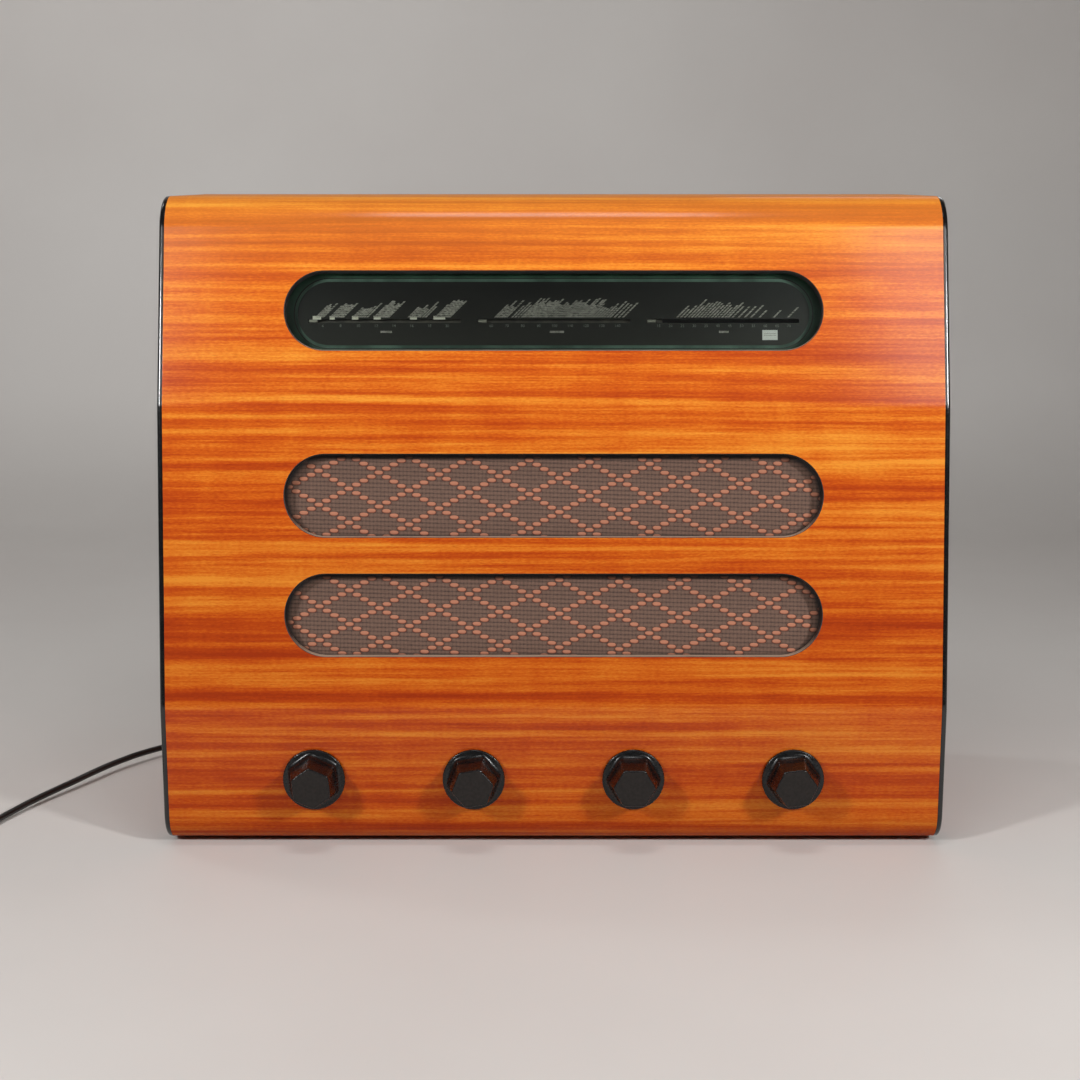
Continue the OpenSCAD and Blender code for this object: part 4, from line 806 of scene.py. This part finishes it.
def bead_surface(sizes, side):
    """The bead's section, (depth inside the outline, distance sideways), carried along the outline."""
    w, r, t = sizes.bead_width, sizes.bead_round, sizes.thickness
    soft = 0.4 * MM
    inner, outer = corner((soft, soft), soft, 270, 180, 3), corner((r, w - r), r, 180, 90, 7)
    section = np.vstack([[(t, 0), (soft * 2, 0)], inner, outer, [(t, w)]])
    runs = outline_runs(sizes)
    s = bend_lines(runs, math.radians(2.5))
    place = on_outline(runs, s[:, None], section[None, :, 0])
    x = side * (SHEET_HIGH.x + np.broadcast_to(section[None, :, 1], place.shape[:2]))
    points = np.stack([x, FRONT_Y + place[..., 0], place[..., 1]], -1).reshape(-1, 3)
    return capped(points, len(s), len(section))


class RADIO_OT_front(bpy.types.Operator):
    """Make the bent veneered front, its dark slot edges and the two black beads"""

    bl_idname = "radio.front"
    bl_label = "Front"

    def execute(self, context):
        sizes = context.scene.radio_front
        points, faces, index, uv = front_sheet(sizes)
        veneer = polished_veneer("polished_ribbon_veneer", along_uv, FRONT_TONES)
        materials = [veneer, slot_edge("stained_ply_edge"), plywood("bare_ply")]
        piece("wood_front", points, faces, "veneer", ["front_wrap"], materials, uv=uv, index=index)
        black = [scratched_black("ebonised_bead", "#0b0a0a", (0.1, 0.26), 0.25)]
        for side, name in ((-1, "left"), (1, "right")):
            bead = bead_surface(sizes, side)
            piece(f"bead_{name}", *bead, "black_lacquer", [f"edge_bead_{name}"], black)
        return {"FINISHED"}


# Leaning parts behind the slots


def leaning(points, height, lean, sizes):
    """Puts points of a leaning frame, (x, inward from the face, up along it), in their place."""
    behind = on_outline(outline_runs(sizes), length_at_height(outline_runs(sizes), height), 0)[0]
    x, y, z = np.asarray(points, float).reshape(-1, 3).T
    c, s = math.cos(lean), math.sin(lean)
    return np.column_stack([x, FRONT_Y + behind + y * c + z * s, height - y * s + z * c])


def float_heights(x, z, cloth):
    """Height, 0 to 1, of the raised floats. They lie where the sum or the difference of their
    counts across and up is a multiple of twice the steps, and each is a rounded oval."""
    across = (x - cloth.crossing_x) / cloth.step_across
    up = (z - cloth.crossing_z + (x - cloth.crossing_x) * math.tan(cloth.droop)) / cloth.step_up
    i, j = np.round(across), np.round(up)
    period = 2 * cloth.steps
    there = (np.mod(i + j, period) == 0) | (np.mod(i - j, period) == 0)
    inside = 1.0
    for off, (reach, power) in ((across - i, FLOAT_ACROSS), (up - j, FLOAT_UP)):
        inside = inside - np.abs(off / reach) ** power
    return np.where(there, np.clip(inside, 0, 1) ** 0.6, 0)


class RADIO_OT_grille(bpy.types.Operator):
    """Stretch the woven cloth behind the speaker slots"""

    bl_idname = "radio.grille"
    bl_label = "Grille cloth"

    def execute(self, context):
        front, cloth = context.scene.radio_front, context.scene.radio_cloth
        columns, rows = 376, 215
        across = np.linspace(-cloth.width / 2, cloth.width / 2, columns)
        x, z = np.meshgrid(across, np.linspace(-cloth.height / 2, cloth.height / 2, rows))
        # Depths of the cloth's ground and of its back, inward from the front's outside
        ground, rear = 9.62 * MM, 9.9 * MM
        y = ground - cloth.raise_by * float_heights(x, z, cloth)
        face = np.stack([x, y, z], -1).reshape(-1, 3)
        order = np.arange(rows * columns).reshape(rows, columns)
        rim = np.concatenate([order[0, :-1], order[:-1, -1], order[-1, :0:-1], order[:0:-1, 0]])
        back = face[rim] * [1, 0, 1] + [0, rear, 0]
        middle = 0 * back + [0, rear, 0]
        around = grid_faces(2, len(rim), True)
        edge, closed = (np.vstack([back, face[rim]]), around), (np.vstack([middle, back]), around)
        points, faces = joined([(face, grid_faces(rows, columns)), edge, closed])
        placed = leaning(points, front.grille_middle, front.lean_low, front)
        cad, finish = ["grille_cloth"], [woven_grille(cloth, front)]
        made = piece("woven_cloth", placed, faces, "grille_cloth", cad, finish, uv=points[:, [0, 2]])
        return {"FINISHED"}


# Dial


# Runs of slanted marks on each scale: from, to (shares of its length), how many, how tall in mm
MARK_RUNS = (
    ((0.0, 0.05, 5, 11), (0.1, 0.19, 7, 13), (0.26, 0.34, 6, 9), (0.36, 0.37, 1, 12), (0.41, 0.51, 8, 13))
    + ((0.65, 0.73, 6, 10), (0.75, 0.77, 2, 14), (0.84, 0.94, 8, 14)),
    ((0.07, 0.15, 6, 13), (0.19, 0.3, 6, 14), (0.26, 0.42, 13, 15), (0.4, 0.56, 10, 14))
    + ((0.56, 0.74, 12, 15), (0.74, 0.86, 7, 11), (0.88, 0.97, 4, 15)),
    ((0.16, 0.24, 4, 10), (0.24, 0.38, 7, 14), (0.38, 0.5, 6, 13), (0.52, 0.53, 1, 17))
    + ((0.55, 0.68, 4, 10), (0.74, 0.75, 1, 9), (0.84, 0.85, 1, 7), (0.94, 0.95, 1, 8)),
)
# Plain blocks at the foot of the first scale's marks: place along it and width, in mm
BLOCKS = ((-1.6, 6.2), (10.9, 3.7), (27.4, 4.7), (43.4, 5.2), (70.2, 5.2), (87.6, 8.7))
# Widths in mm of the plain bars where each scale has its word
LABEL_WIDTHS = (8.5, 10.5, 7.2)
# Numbers on each scale: how many, the first, and the step
FIGURES = ((8, 6, 2), (9, 60, 10), (12, 15, 5))
# Half length and end radius in mm of the loops round the two border lines, from the outside in
BORDERS = ((200, 31), (192, 26.6), (191.2, 25.9), (189, 23.7))
# Screen printed enamel behind the glass, flat and slightly rough, in the form of DRIFTING
INKS = {
    "green": ("green_enamel", "#3a5548", "#5f7d6e", 0.02, 0, 0.5),
    "deep": ("dark_green_enamel", "#305341", "#427058", 0.02, 0, 0.5),
    "worn": ("worn_grey_enamel", "#8c877e", "#b4afa5", 0.002, 0, 0.6),
    "faint": ("faded_grey_enamel", "#6d6e67", "#90918a", 0.002, 0, 0.6),
    "cream": ("cream_print", "#e4dfcc", "#f5f1e2", 0.01, 0, 0.6),
    "card": ("white_card", "#d9d8d2", "#ecebe6", 0.01, 0, 0.7),
}


def stadium(half, radius, steps):
    """Points round a stadium of that half length and end radius, as (x, z)."""
    core = half - radius
    ends = corner((core, 0), radius, 90, -90, steps), corner((-core, 0), radius, 270, 90, steps)
    return np.vstack(ends)


def band_between(outer, inner, depth, rise):
    """Flat closed band between two loops of (x, z) points, rise thick, with its face at depth."""
    rows = [(outer, depth), (inner, depth), (inner, depth + rise), (outer, depth + rise), (outer, depth)]
    points = np.vstack([np.column_stack([p[:, 0], np.full(len(p), d), p[:, 1]]) for p, d in rows])
    return points, grid_faces(len(rows), len(outer), True)


def bars(places, depth, rise):
    """Thin slabs. Each is its four corners as (x, z), counter-clockwise."""
    flat = np.asarray(places, float).reshape(-1, 4, 2)
    face = np.stack([flat[..., 0], np.full(flat.shape[:2], depth), flat[..., 1]], -1)
    points = np.concatenate([face, face + [0, rise, 0]], 1)
    cube = np.array([[0, 1, 2, 3], [7, 6, 5, 4], [0, 4, 5, 1], [1, 5, 6, 2], [2, 6, 7, 3], [3, 7, 4, 0]])
    return points.reshape(-1, 3), (cube + 8 * np.arange(len(flat))[:, None, None]).reshape(-1, 4)


def slab(x, z, width, height, slant=0.0):
    """Corners of a bar with its foot's left end at x, z; slant is how far its head is moved."""
    return [(x, z), (x + width, z), (x + width + slant, z + height), (x + slant, z + height)]


def numbers(entries, size, depth, rise):
    """Meshes of numbers with their middles at x, z, made from Blender's own font."""
    points, faces, start = [], [], 0
    for text, x, z in entries:
        curve = bpy.data.curves.new("number", "FONT")
        curve.body = text
        curve.size = size
        curve.align_x = "CENTER"
        curve.extrude = rise / 2
        curve.resolution_u = 3
        holder = bpy.data.objects.new("number", curve)
        mesh = bpy.data.meshes.new_from_object(holder)
        flat = np.zeros(len(mesh.vertices) * 3, np.float32)
        mesh.vertices.foreach_get("co", flat)
        flat = flat.reshape(-1, 3).astype(float)
        middle = (flat[:, 1].min() + flat[:, 1].max()) / 2
        points.append(np.column_stack([flat[:, 0] + x, depth - flat[:, 2], flat[:, 1] - middle + z]))
        faces += [[start + v for v in p.vertices] for p in mesh.polygons]
        start += len(flat)
        bpy.data.objects.remove(holder)
        bpy.data.curves.remove(curve)
        bpy.data.meshes.remove(mesh)
    return np.vstack(points), faces


def printed(name, points, polygons, material, slot, front):
    """One flat printed piece on the dial, from points and polygons in the dial's own frame."""
    mesh = bpy.data.meshes.new(name)
    placed = leaning(points, front.dial_middle, front.lean_high, front)
    mesh.from_pydata(placed.tolist(), [], [[int(v) for v in f] for f in polygons])
    mesh.materials.append(material)
    made = linked(name, mesh)
    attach(made, "cabinet")


def slanted_marks(scales, dial):
    """Strokes that lean on each scale, each broken up like a line of small type. They say nothing."""
    rng = np.random.default_rng(7)
    width, letter = 1.5 * MM, 1.6 * MM
    strokes = []
    for x0, groups in zip(scales, MARK_RUNS):
        for first, last, count, tall in groups:
            for place in np.linspace(first, last, count):
                rise = tall * MM * rng.uniform(0.6, 1.0)
                x, z = x0 + place * dial.scale_length, dial.baseline + 2.6 * MM
                parts = max(2, round(rise / letter))
                for k in range(parts):
                    low, high = k * rise / parts, (k + rng.uniform(0.7, 1.0)) * rise / parts
                    strokes.append(slab(x + low, z + low, width, high - low, high - low))
    return strokes


class RADIO_OT_dial(bpy.types.Operator):
    """Print the borders, three scales, slanted marks and plain numbers on the dial"""

    bl_idname = "radio.dial"
    bl_label = "Dial print"

    def execute(self, context):
        front, dial = context.scene.radio_front, context.scene.radio_dial
        depth, rise, base = dial.print_depth, 0.05 * MM, dial.baseline
        start = -1.5 * dial.scale_pitch + (dial.scale_pitch - dial.scale_length) / 2 + 1.2 * MM
        scales = [start + n * dial.scale_pitch for n in range(3)]
        rings = [stadium(half * MM, radius * MM, 48) for half, radius in BORDERS]
        blocks = [slab(scales[0] + x * MM, base + 1.0 * MM, w * MM, 2.7 * MM) for x, w in BLOCKS]
        labels = []
        for x, width in zip(scales, LABEL_WIDTHS):
            labels.append(slab(x + 48.5 * MM, base - 8.9 * MM, width * MM, 1.5 * MM))
        figures = []
        for x0, (count, first, step) in zip(scales, FIGURES):
            for n in range(count):
                x = x0 + (n + 0.45) / count * dial.scale_length
                figures.append((str(first + n * step), x, base - 3.6 * MM))
        card = [slab(scales[2] + 80.5 * MM, base - 14.2 * MM, 11.2 * MM, 7.4 * MM)]
        heights = [base - 11 * MM + n * 1.3 * MM for n in range(2)]
        lined = [slab(scales[2] + 81.6 * MM, z, 9 * MM, 0.35 * MM) for z in heights]
        inks = {name: mottled(*row) for name, row in INKS.items()}
        prints = (
            ("dial_border_outer", band_between(*rings[:2], depth, rise), "deep", "dial_black"),
            ("dial_border_inner", band_between(*rings[2:], depth, rise), "green", "dial_black"),
            ("dial_marks", bars(slanted_marks(scales, dial), depth, rise), "worn", "dial_black"),
            ("dial_blocks", bars(blocks, depth, rise), "cream", "pointer_cream"),
            ("dial_labels", bars(labels, depth, rise), "worn", "pointer_cream"),
            ("dial_numbers", numbers(figures, 2.9 * MM, depth, rise), "faint", "dial_black"),
            ("dial_card", bars(card, depth, rise), "card", "pointer_cream"),
            ("dial_card_lines", bars(lined, depth - rise, rise), "worn", "dial_black"),
        )
        for name, shape, ink, slot in prints:
            printed(name, *shape, inks[ink], slot, front)
        return {"FINISHED"}


# Knobs


def knob_surface(knob, centre, turn):
    """A turned skirt with a rounded rim, a shallow dome, and a tapered grip with six flats. The
    grip's radius is a / (sum over the flats of cos(angle to the flat) ^ p) ^ (1/p), with a as half
    the width across flats. Each row is a radius and a height, one for all points or one for each."""
    columns = 180
    around = np.linspace(0, 2 * math.pi, columns, endpoint=False)
    flats = math.radians(turn + 30) + np.radians(60) * np.arange(6)[:, None]
    reach = np.clip(np.cos(around - flats), 0, 1) ** knob.sharpness
    shape = 1 / reach.sum(0) ** (1 / knob.sharpness)
    radius, crown, rim, foot_round = knob.skirt / 2, 92 * MM, 1.0 * MM, 0.5 * MM

    def dome(r):
        return knob.skirt_thickness - crown + np.sqrt(crown**2 - r**2)

    root, face = knob.root / 2 * shape, knob.face / 2 * shape
    rows = [(0, 0), (radius - foot_round, 0), (radius, foot_round)]
    rows += corner((radius - rim, dome(radius - rim) - rim), rim, 0, 80, 5).tolist()
    start, sweep, bevel = rows[-1][0], 7.5 * MM, 1.1 * MM
    # The flats run out into the dome in a wide curve, the corners in a tighter one
    flare = np.minimum(4.8 * MM, start - root - 0.4 * MM)
    foot = root + flare
    for k in np.linspace(0.12, 1, 6):
        r = start + (foot - start) * k
        rows.append((r, dome(r)))
    level = dome(foot)
    for k in np.radians((12, 24, 36, 48, 60, 75, 90)):
        rows.append((foot - flare * np.sin(k), level + sweep * (1 - np.cos(k))))
    low, high = level + sweep, knob.height - bevel
    for k in np.linspace(0.1, 1, 8):
        rows.append((root + (face - root) * k, low + (high - low) * k))
    for k in np.radians((18, 36, 54, 72, 90)):
        rows.append((face - bevel * (1 - np.cos(k)), high + bevel * np.sin(k)))
    sides = len(rows) - 1
    rows += [((face - bevel) * k, knob.height) for k in (0.94, 0.8, 0.6, 0.4, 0.2, 0)]
    x, y, z = centre
    points = [(x + r * np.sin(around), y - h + 0 * around, z + r * np.cos(around)) for r, h in rows]
    index = np.repeat(np.arange(len(rows) - 1) >= sides, columns).astype(int)
    return np.stack(points).transpose(0, 2, 1).reshape(-1, 3), grid_faces(len(rows), columns, True), index


class RADIO_OT_knobs(bpy.types.Operator):
    """Mould the four knobs, each turned as it stands in the photograph"""

    bl_idname = "radio.knobs"
    bl_label = "Knobs"

    def execute(self, context):
        knob = context.scene.radio_knob
        gap = 1 * MM
        polished = scratched_black("polished_knob", "#0a0a0b", (0.22, 0.34), 0.0, 0.4)
        # The face is rubbed down to a satin brown-black
        rubbing_and_painted_light = mottled("rubbed_knob_face", "#1d1a18", "#25211f", 0.002, roughness=0.6, shine=0.2)
        for control, turn in zip(CONTROLS, (-6, 20, 30, 24)):
            x, _, z = AXLES[control]
            points, faces, index = knob_surface(knob, (x, FRONT_Y - gap, z), turn)
            name, cad = f"grip_{control}", [f"knob_{control}"]
            piece(name, points, faces, "knob_moulding", cad, [polished, rubbing_and_painted_light], control, index=index)
        return {"FINISHED"}


# Mains lead


# Route of the lead in mm, from the back to its coil and from the coil to the plug
LEAVES_BACK = (
    (-170, 160.5, 40), (-170, 166.5, 40), (-171.5, 178.5, 38.5), (-176, 189, 36), (-183, 198.5, 32.5),
    (-192.5, 205.5, 28.5), (-203.5, 210, 24.5), (-215, 211.5, 21), (-226.5, 210, 18),
    (-237.5, 205.5, 15.5), (-247, 198.5, 13.5), (-257, 188.5, 12), (-267, 178.5, 11),
    (-277, 168.5, 10.5), (-287, 158.5, 10), (-297, 148.5, 9.8), (-307, 138.5, 9.5),
    (-317, 128.5, 9.3), (-327, 118.5, 9.1), (-337, 108.5, 9), (-346.5, 98.5, 8.8),
    (-355.5, 88, 8.5), (-363.5, 77, 8), (-371, 65.5, 7.6), (-378, 53, 7.2), (-384.5, 40, 6.8),
    (-391, 26.5, 6.4), (-398, 13.5, 5.9), (-405, 0.5, 5.3), (-411.5, -12.5, 4.8),
    (-417.5, -25.5, 4.3), (-423, -38.5, 3.8), (-428, -51.5, 3.5), (-432.5, -64, 3.4),
    (-436, -75, 3.4), (-438.8, -84, 3.4), (-440.4, -91.5, 3.4),
)
TO_PLUG = (
    (-519.6, -91.5, 9), (-519.6, -85, 10), (-519.6, -79, 12), (-519.6, -73, 13.8), (-519.6, -66, 14),
    (-519.6, -58, 14),
)
COIL_MIDDLE = (-480, -102.5)


def coil_points(lead):
    """A flat coil in two layers: the radius falls by one pitch a turn, the lead climbs to the second
    layer within half a turn at the middle, and the radius grows again."""
    t = np.linspace(0, 2 * lead.turns + 0.5, 181)
    middle = t - lead.turns
    rising = lead.inner - lead.pitch * (middle - 2 * middle**2)
    radius = np.where(t < lead.turns, lead.inner - lead.pitch * middle, rising)
    radius = np.where(t < lead.turns + 0.5, radius, lead.inner + lead.pitch * (middle - 0.5))
    share = np.clip(middle / 0.5, 0, 1)
    height = 3.4 * MM + lead.pitch * share**2 * (3 - 2 * share)
    angle = -2 * math.pi * t
    x, y = COIL_MIDDLE
    return np.column_stack([x * MM + radius * np.cos(angle), y * MM + radius * np.sin(angle), height])


def smooth_line(points, spacing):
    """Catmull-Rom curve through points, then evenly spaced points along it."""
    p = np.vstack([2 * points[0] - points[1], points, 2 * points[-1] - points[-2]])
    a, b, c, d = p[:-3, None], p[1:-2, None], p[2:-1, None], p[3:, None]
    t = np.linspace(0, 1, 12, endpoint=False)[None, :, None]
    curve = 0.5 * (2 * b + (c - a) * t + (2 * a - 5 * b + 4 * c - d) * t**2 + (3 * b - a - 3 * c + d) * t**3)
    curve = np.vstack([curve.reshape(-1, 3), points[-1]])
    along = np.concatenate([[0], np.cumsum(np.linalg.norm(np.diff(curve, axis=0), axis=1))])
    even = np.linspace(0, along[-1], max(2, round(along[-1] / spacing)))
    return np.column_stack([np.interp(even, along, curve[:, k]) for k in range(3)]), float(along[-1])


def tube(line, radius, sides):
    """A round tube along a line. Each ring's frame is the last one turned the least way."""
    ahead = np.gradient(line, axis=0)
    ahead /= np.linalg.norm(ahead, axis=1)[:, None]
    across = np.cross(ahead[0], [0, 0, 1.0])
    rings = []
    around = np.linspace(0, 2 * math.pi, sides, endpoint=False)[:, None]
    for point, way in zip(line, ahead):
        across = across - way * np.dot(across, way)
        across /= np.linalg.norm(across)
        rings.append(point + radius * (np.cos(around) * across + np.sin(around) * np.cross(way, across)))
    return capped(np.vstack(rings), len(line), sides)


def tape_loop():
    """A flat tape round the coil: a rounded rectangle in y and z, carried across its width."""
    width, thick, bend = 10 * MM, 0.8 * MM, 3 * MM
    near, far, top = -145.9 * MM + bend, -118.2 * MM - bend, 12.5 * MM - bend
    turns = [(far, top, 90), (far, bend, 0), (near, bend, -90), (near, top, -180)]
    loop = np.vstack([corner((y, z), 1.0, a, a - 90, 6) - (y, z) for y, z, a in turns])
    centres = np.repeat([(y, z) for y, z, _ in turns], 7, 0)
    x0, x1 = COIL_MIDDLE[0] * MM - width / 2, COIL_MIDDLE[0] * MM + width / 2
    rows = []
    for x, r in ((x0, bend), (x1, bend), (x1, bend - thick), (x0, bend - thick), (x0, bend)):
        rows.append(np.column_stack([np.full(len(loop), x), centres + loop * r]))
    return np.vstack(rows), grid_faces(len(rows), len(loop), True)


def plug_profile(radius, run):
    """Radius and distance from the cord along a round plug: a collar, a bell that opens as the
    distance to the power 1.6, three ribs with grooves between them, and a rounded end."""
    mouth, bell, groove, last = 5.4 * MM, 15 * MM, 0.7 * MM, 1.2 * MM
    profile = [(0, 0), (3.6 * MM, 0), (4.6 * MM, 0.8 * MM)]
    for k in np.linspace(0, 0.96, 9):
        profile.append((mouth + (radius - mouth) * k**1.6, 1.5 * MM + bell * k))
    for middle in (19.5 * MM, 22.9 * MM, 26.3 * MM):
        for r, off in ((radius, -1.1), (radius, 1.1), (radius - groove, 1.4), (radius - groove, 2.0)):
            profile.append((r, middle + off * MM))
    profile += [(radius, 29.6 * MM), (radius, run - 2.2 * MM)]
    profile += corner((radius - last, run - last), last, 0, 90, 4).tolist()
    return [*profile, (0, run)]


class RADIO_OT_lead(bpy.types.Operator):
    """Lay the mains lead with its coil, tape tie and plug"""

    bl_idname = "radio.lead"
    bl_label = "Mains lead"

    def execute(self, context):
        lead = context.scene.radio_lead
        route = np.vstack([np.array(LEAVES_BACK) * MM, coil_points(lead), np.array(TO_PLUG) * MM])
        line, run = smooth_line(route, 4 * MM)
        cords = ["mains_cord", "mains_cord_coil", "mains_cord_tail"]
        flex = piece("mains_lead", *tube(line, lead.diameter / 2, 14), "flex", cords)
        piece("tape_tie", *tape_loop(), "tie_strap", ["cord_tie"])
        x, y, _ = TO_PLUG[-1]
        behind = 2 * MM
        profile = plug_profile(lead.plug_radius, lead.plug_length)
        body = turned(profile, 48, (x * MM, y * MM - behind, lead.plug_radius), (0, 1, 0))
        plug = piece("turned_plug", *body, "black_moulding", ["plug_body"])
        return {"FINISHED"}


# Finishes of the CAD nodes


class RADIO_OT_cabinet(bpy.types.Operator):
    """Give every CAD node that stays in view its procedural finish"""

    bl_idname = "radio.cabinet"
    bl_label = "Cabinet and works"

    def execute(self, context):
        FINISH_OF.update(finishes())
        for part in frame["record"]["subparts"]:
            node = frame["nodes"][part["node"]]
            if part["material_slot"] in FINISH_OF:
                node.data.materials.clear()
                node.data.materials.append(FINISH_OF[part["material_slot"]])
        # The pointers' bar is bare and tarnished behind its cream tips, which stand in the windows
        front, mesh = context.scene.radio_front, frame["nodes"]["pointer_carriage"].data
        mesh.materials.append(mottled("tarnished_zinc", "#3c3832", "#5b554b", 0.01, roughness=0.5))
        tips = leaning([(0, 15.5 * MM, 0)], front.dial_middle, front.lean_high, front)[0]
        inward = Vector((0, math.cos(front.lean_high), -math.sin(front.lean_high)))
        for polygon in mesh.polygons:
            polygon.material_index = int((polygon.center - Vector(tips)).dot(inward) > 0)
        return {"FINISHED"}


# Stage


# Soft lamps: degrees from straight ahead, degrees up, width and height, and power. The last one
# also has its own target and distance.
LAMPS = {
    "lamp_left": (-47, 27, (0.16, 0.2), 15),
    "lamp_right": (47, 27, (0.16, 0.2), 17.2),
    "lamp_above": (0, 74, (0.5, 0.3), 4.4),
    "lamp_back": (155, 38, (0.6, 0.4), 1.6),
    # These two show as a pale bloom in the polish of the upper corners
    "lamp_bloom_left": (-29, 33, (0.3, 0.4), 0.6),
    "lamp_bloom_right": (27, 33, (0.3, 0.4), 1.4),
    "lamp_wall": (-15, 35, (0.5, 0.3), 6, (-0.6, 1.7, 0.5), 1.6),
}


def soft_box(name, azimuth, elevation, size, power, target=(0, FRONT_Y, 0.1), distance=1.7):
    """An area lamp that faces the target from that side, in degrees from straight ahead."""
    a, e = math.radians(azimuth), math.radians(elevation)
    way = Vector((math.sin(a) * math.cos(e), -math.cos(a) * math.cos(e), math.sin(e)))
    lamp = bpy.data.lights.new(name, "AREA")
    lamp.shape = "RECTANGLE"
    lamp.size, lamp.size_y = size
    lamp.energy = power
    made = linked(name, lamp)
    facing = way.to_track_quat("Z", "Y").to_matrix().to_4x4()
    made.matrix_world = Matrix.Translation(Vector(target) + way * distance) @ facing
    return made


def stage_camera(stage):
    """Camera level with the photograph's: its height, pitch, lens and place from side to side."""
    camera = bpy.data.cameras.new("camera")
    camera.sensor_width = 36
    camera.lens = stage.lens
    camera.shift_y = -0.0014
    view = linked("camera", camera)
    view.location = (stage.aside, FRONT_Y - stage.stand_off, stage.height)
    view.rotation_euler = (math.pi / 2 - stage.pitch, 0, 0)
    bpy.context.scene.camera = view
    return view


def painted_board():
    """Pale painted board: matt, with the faintest cloudiness. Beyond the lamps' reach the camera
    sees it as pale as the room."""
    board = mottled("painted_board", "#cdc8c4", "#d3cfcb", 0.6, roughness=0.6)
    tree = board.node_tree
    shader = next(n for n in tree.nodes if n.type == "BSDF_PRINCIPLED")
    place = add(tree, "ShaderNodeTexCoord", out="Object")
    lit = {0: place, 1: (0.0, 0.9, 0.0)}
    far = add(tree, "ShaderNodeVectorMath", lit, out="Value", operation="DISTANCE")
    glow = add(tree, "ShaderNodeMapRange", {0: far, 1: 2.1, 2: 3.8, 3: 0.0, 4: 0.45})
    seen = add(tree, "ShaderNodeLightPath", out="Is Camera Ray")
    both = add(tree, "ShaderNodeMath", {0: glow, 1: seen}, operation="MULTIPLY")
    feed(shader.inputs["Emission Color"], ROOM_TONE)
    feed(shader.inputs["Emission Strength"], both)
    return board


def stage_floor():
    """The floor runs back level and sweeps up into the wall."""
    wide, before, behind, high, sweep = 6, -6, 1.7, 4, 0.6
    bend = corner((behind - sweep, sweep), sweep, -90, 0, 16)
    profile = np.vstack([[(before, 0)], bend, [(behind, high)]])
    rows = [np.column_stack([np.full(len(profile), x), profile]) for x in (-wide, wide)]
    mesh = bpy.data.meshes.new("floor")
    mesh.from_pydata(np.vstack(rows).tolist(), [], grid_faces(2, len(profile)).tolist())
    mesh.polygons.foreach_set("use_smooth", np.ones(len(mesh.polygons), bool))
    mesh.materials.append(painted_board())
    return linked("floor", mesh)


def pale_room():
    """A faint fill, which gloss and the camera see as a pale room."""
    world = bpy.data.worlds.new("room")
    world.use_nodes = True
    tree = world.node_tree
    background = next(n for n in tree.nodes if n.type == "BACKGROUND")
    feed(background.inputs["Color"], ROOM_TONE)
    level = 0.05
    for ray, more in (("Is Glossy Ray", 0.05), ("Is Camera Ray", 0.45)):
        inputs = {0: add(tree, "ShaderNodeLightPath", out=ray), 1: more, 2: level}
        level = add(tree, "ShaderNodeMath", inputs, operation="MULTIPLY_ADD")
    feed(background.inputs["Strength"], level)
    return world


class RADIO_OT_stage(bpy.types.Operator):
    """Set up the camera at the photograph's angle, the soft lamps and the plain floor"""

    bl_idname = "radio.stage"
    bl_label = "Stage"

    def execute(self, context):
        camera = stage_camera(context.scene.radio_stage)
        lamps = [soft_box(name, *values) for name, values in LAMPS.items()]
        context.scene.world = pale_room()
        context.scene.view_settings.view_transform = "Standard"
        stage_floor()
        return {"FINISHED"}


OPERATORS = (
    RADIO_OT_stage,
    RADIO_OT_cabinet,
    RADIO_OT_front,
    RADIO_OT_grille,
    RADIO_OT_dial,
    RADIO_OT_knobs,
    RADIO_OT_lead,
)
GROUPS = {
    "radio_front": FrontSizes,
    "radio_knob": KnobSizes,
    "radio_cloth": ClothSizes,
    "radio_dial": DialSizes,
    "radio_lead": LeadSizes,
    "radio_stage": StageSizes,
}


class RADIO_PT_panel(bpy.types.Panel):
    """Sizes and steps of the table radio"""

    bl_idname = "RADIO_PT_panel"
    bl_label = "Table Radio"
    bl_space_type = "VIEW_3D"
    bl_region_type = "UI"
    bl_category = "Radio"

    def draw(self, context):
        for operator in OPERATORS:
            self.layout.operator(operator.bl_idname)
        for name, group in GROUPS.items():
            box = self.layout.box()
            box.label(text=group.__doc__)
            for key in group.__annotations__:
                box.prop(getattr(context.scene, name), key)


def register():
    for kind in (*GROUPS.values(), *OPERATORS, RADIO_PT_panel):
        bpy.utils.register_class(kind)
    for name, group in GROUPS.items():
        setattr(bpy.types.Scene, name, PointerProperty(type=group))


def unregister():
    for name in GROUPS:
        delattr(bpy.types.Scene, name)
    for kind in (RADIO_PT_panel, *reversed(OPERATORS), *GROUPS.values()):
        bpy.utils.unregister_class(kind)


def main():
    register()
    bpy.ops.radio.stage()
    bpy.ops.radio.cabinet()
    bpy.ops.radio.front()
    bpy.ops.radio.grille()
    bpy.ops.radio.dial()
    bpy.ops.radio.knobs()
    bpy.ops.radio.lead()


if __name__ == "__main__":
    main()
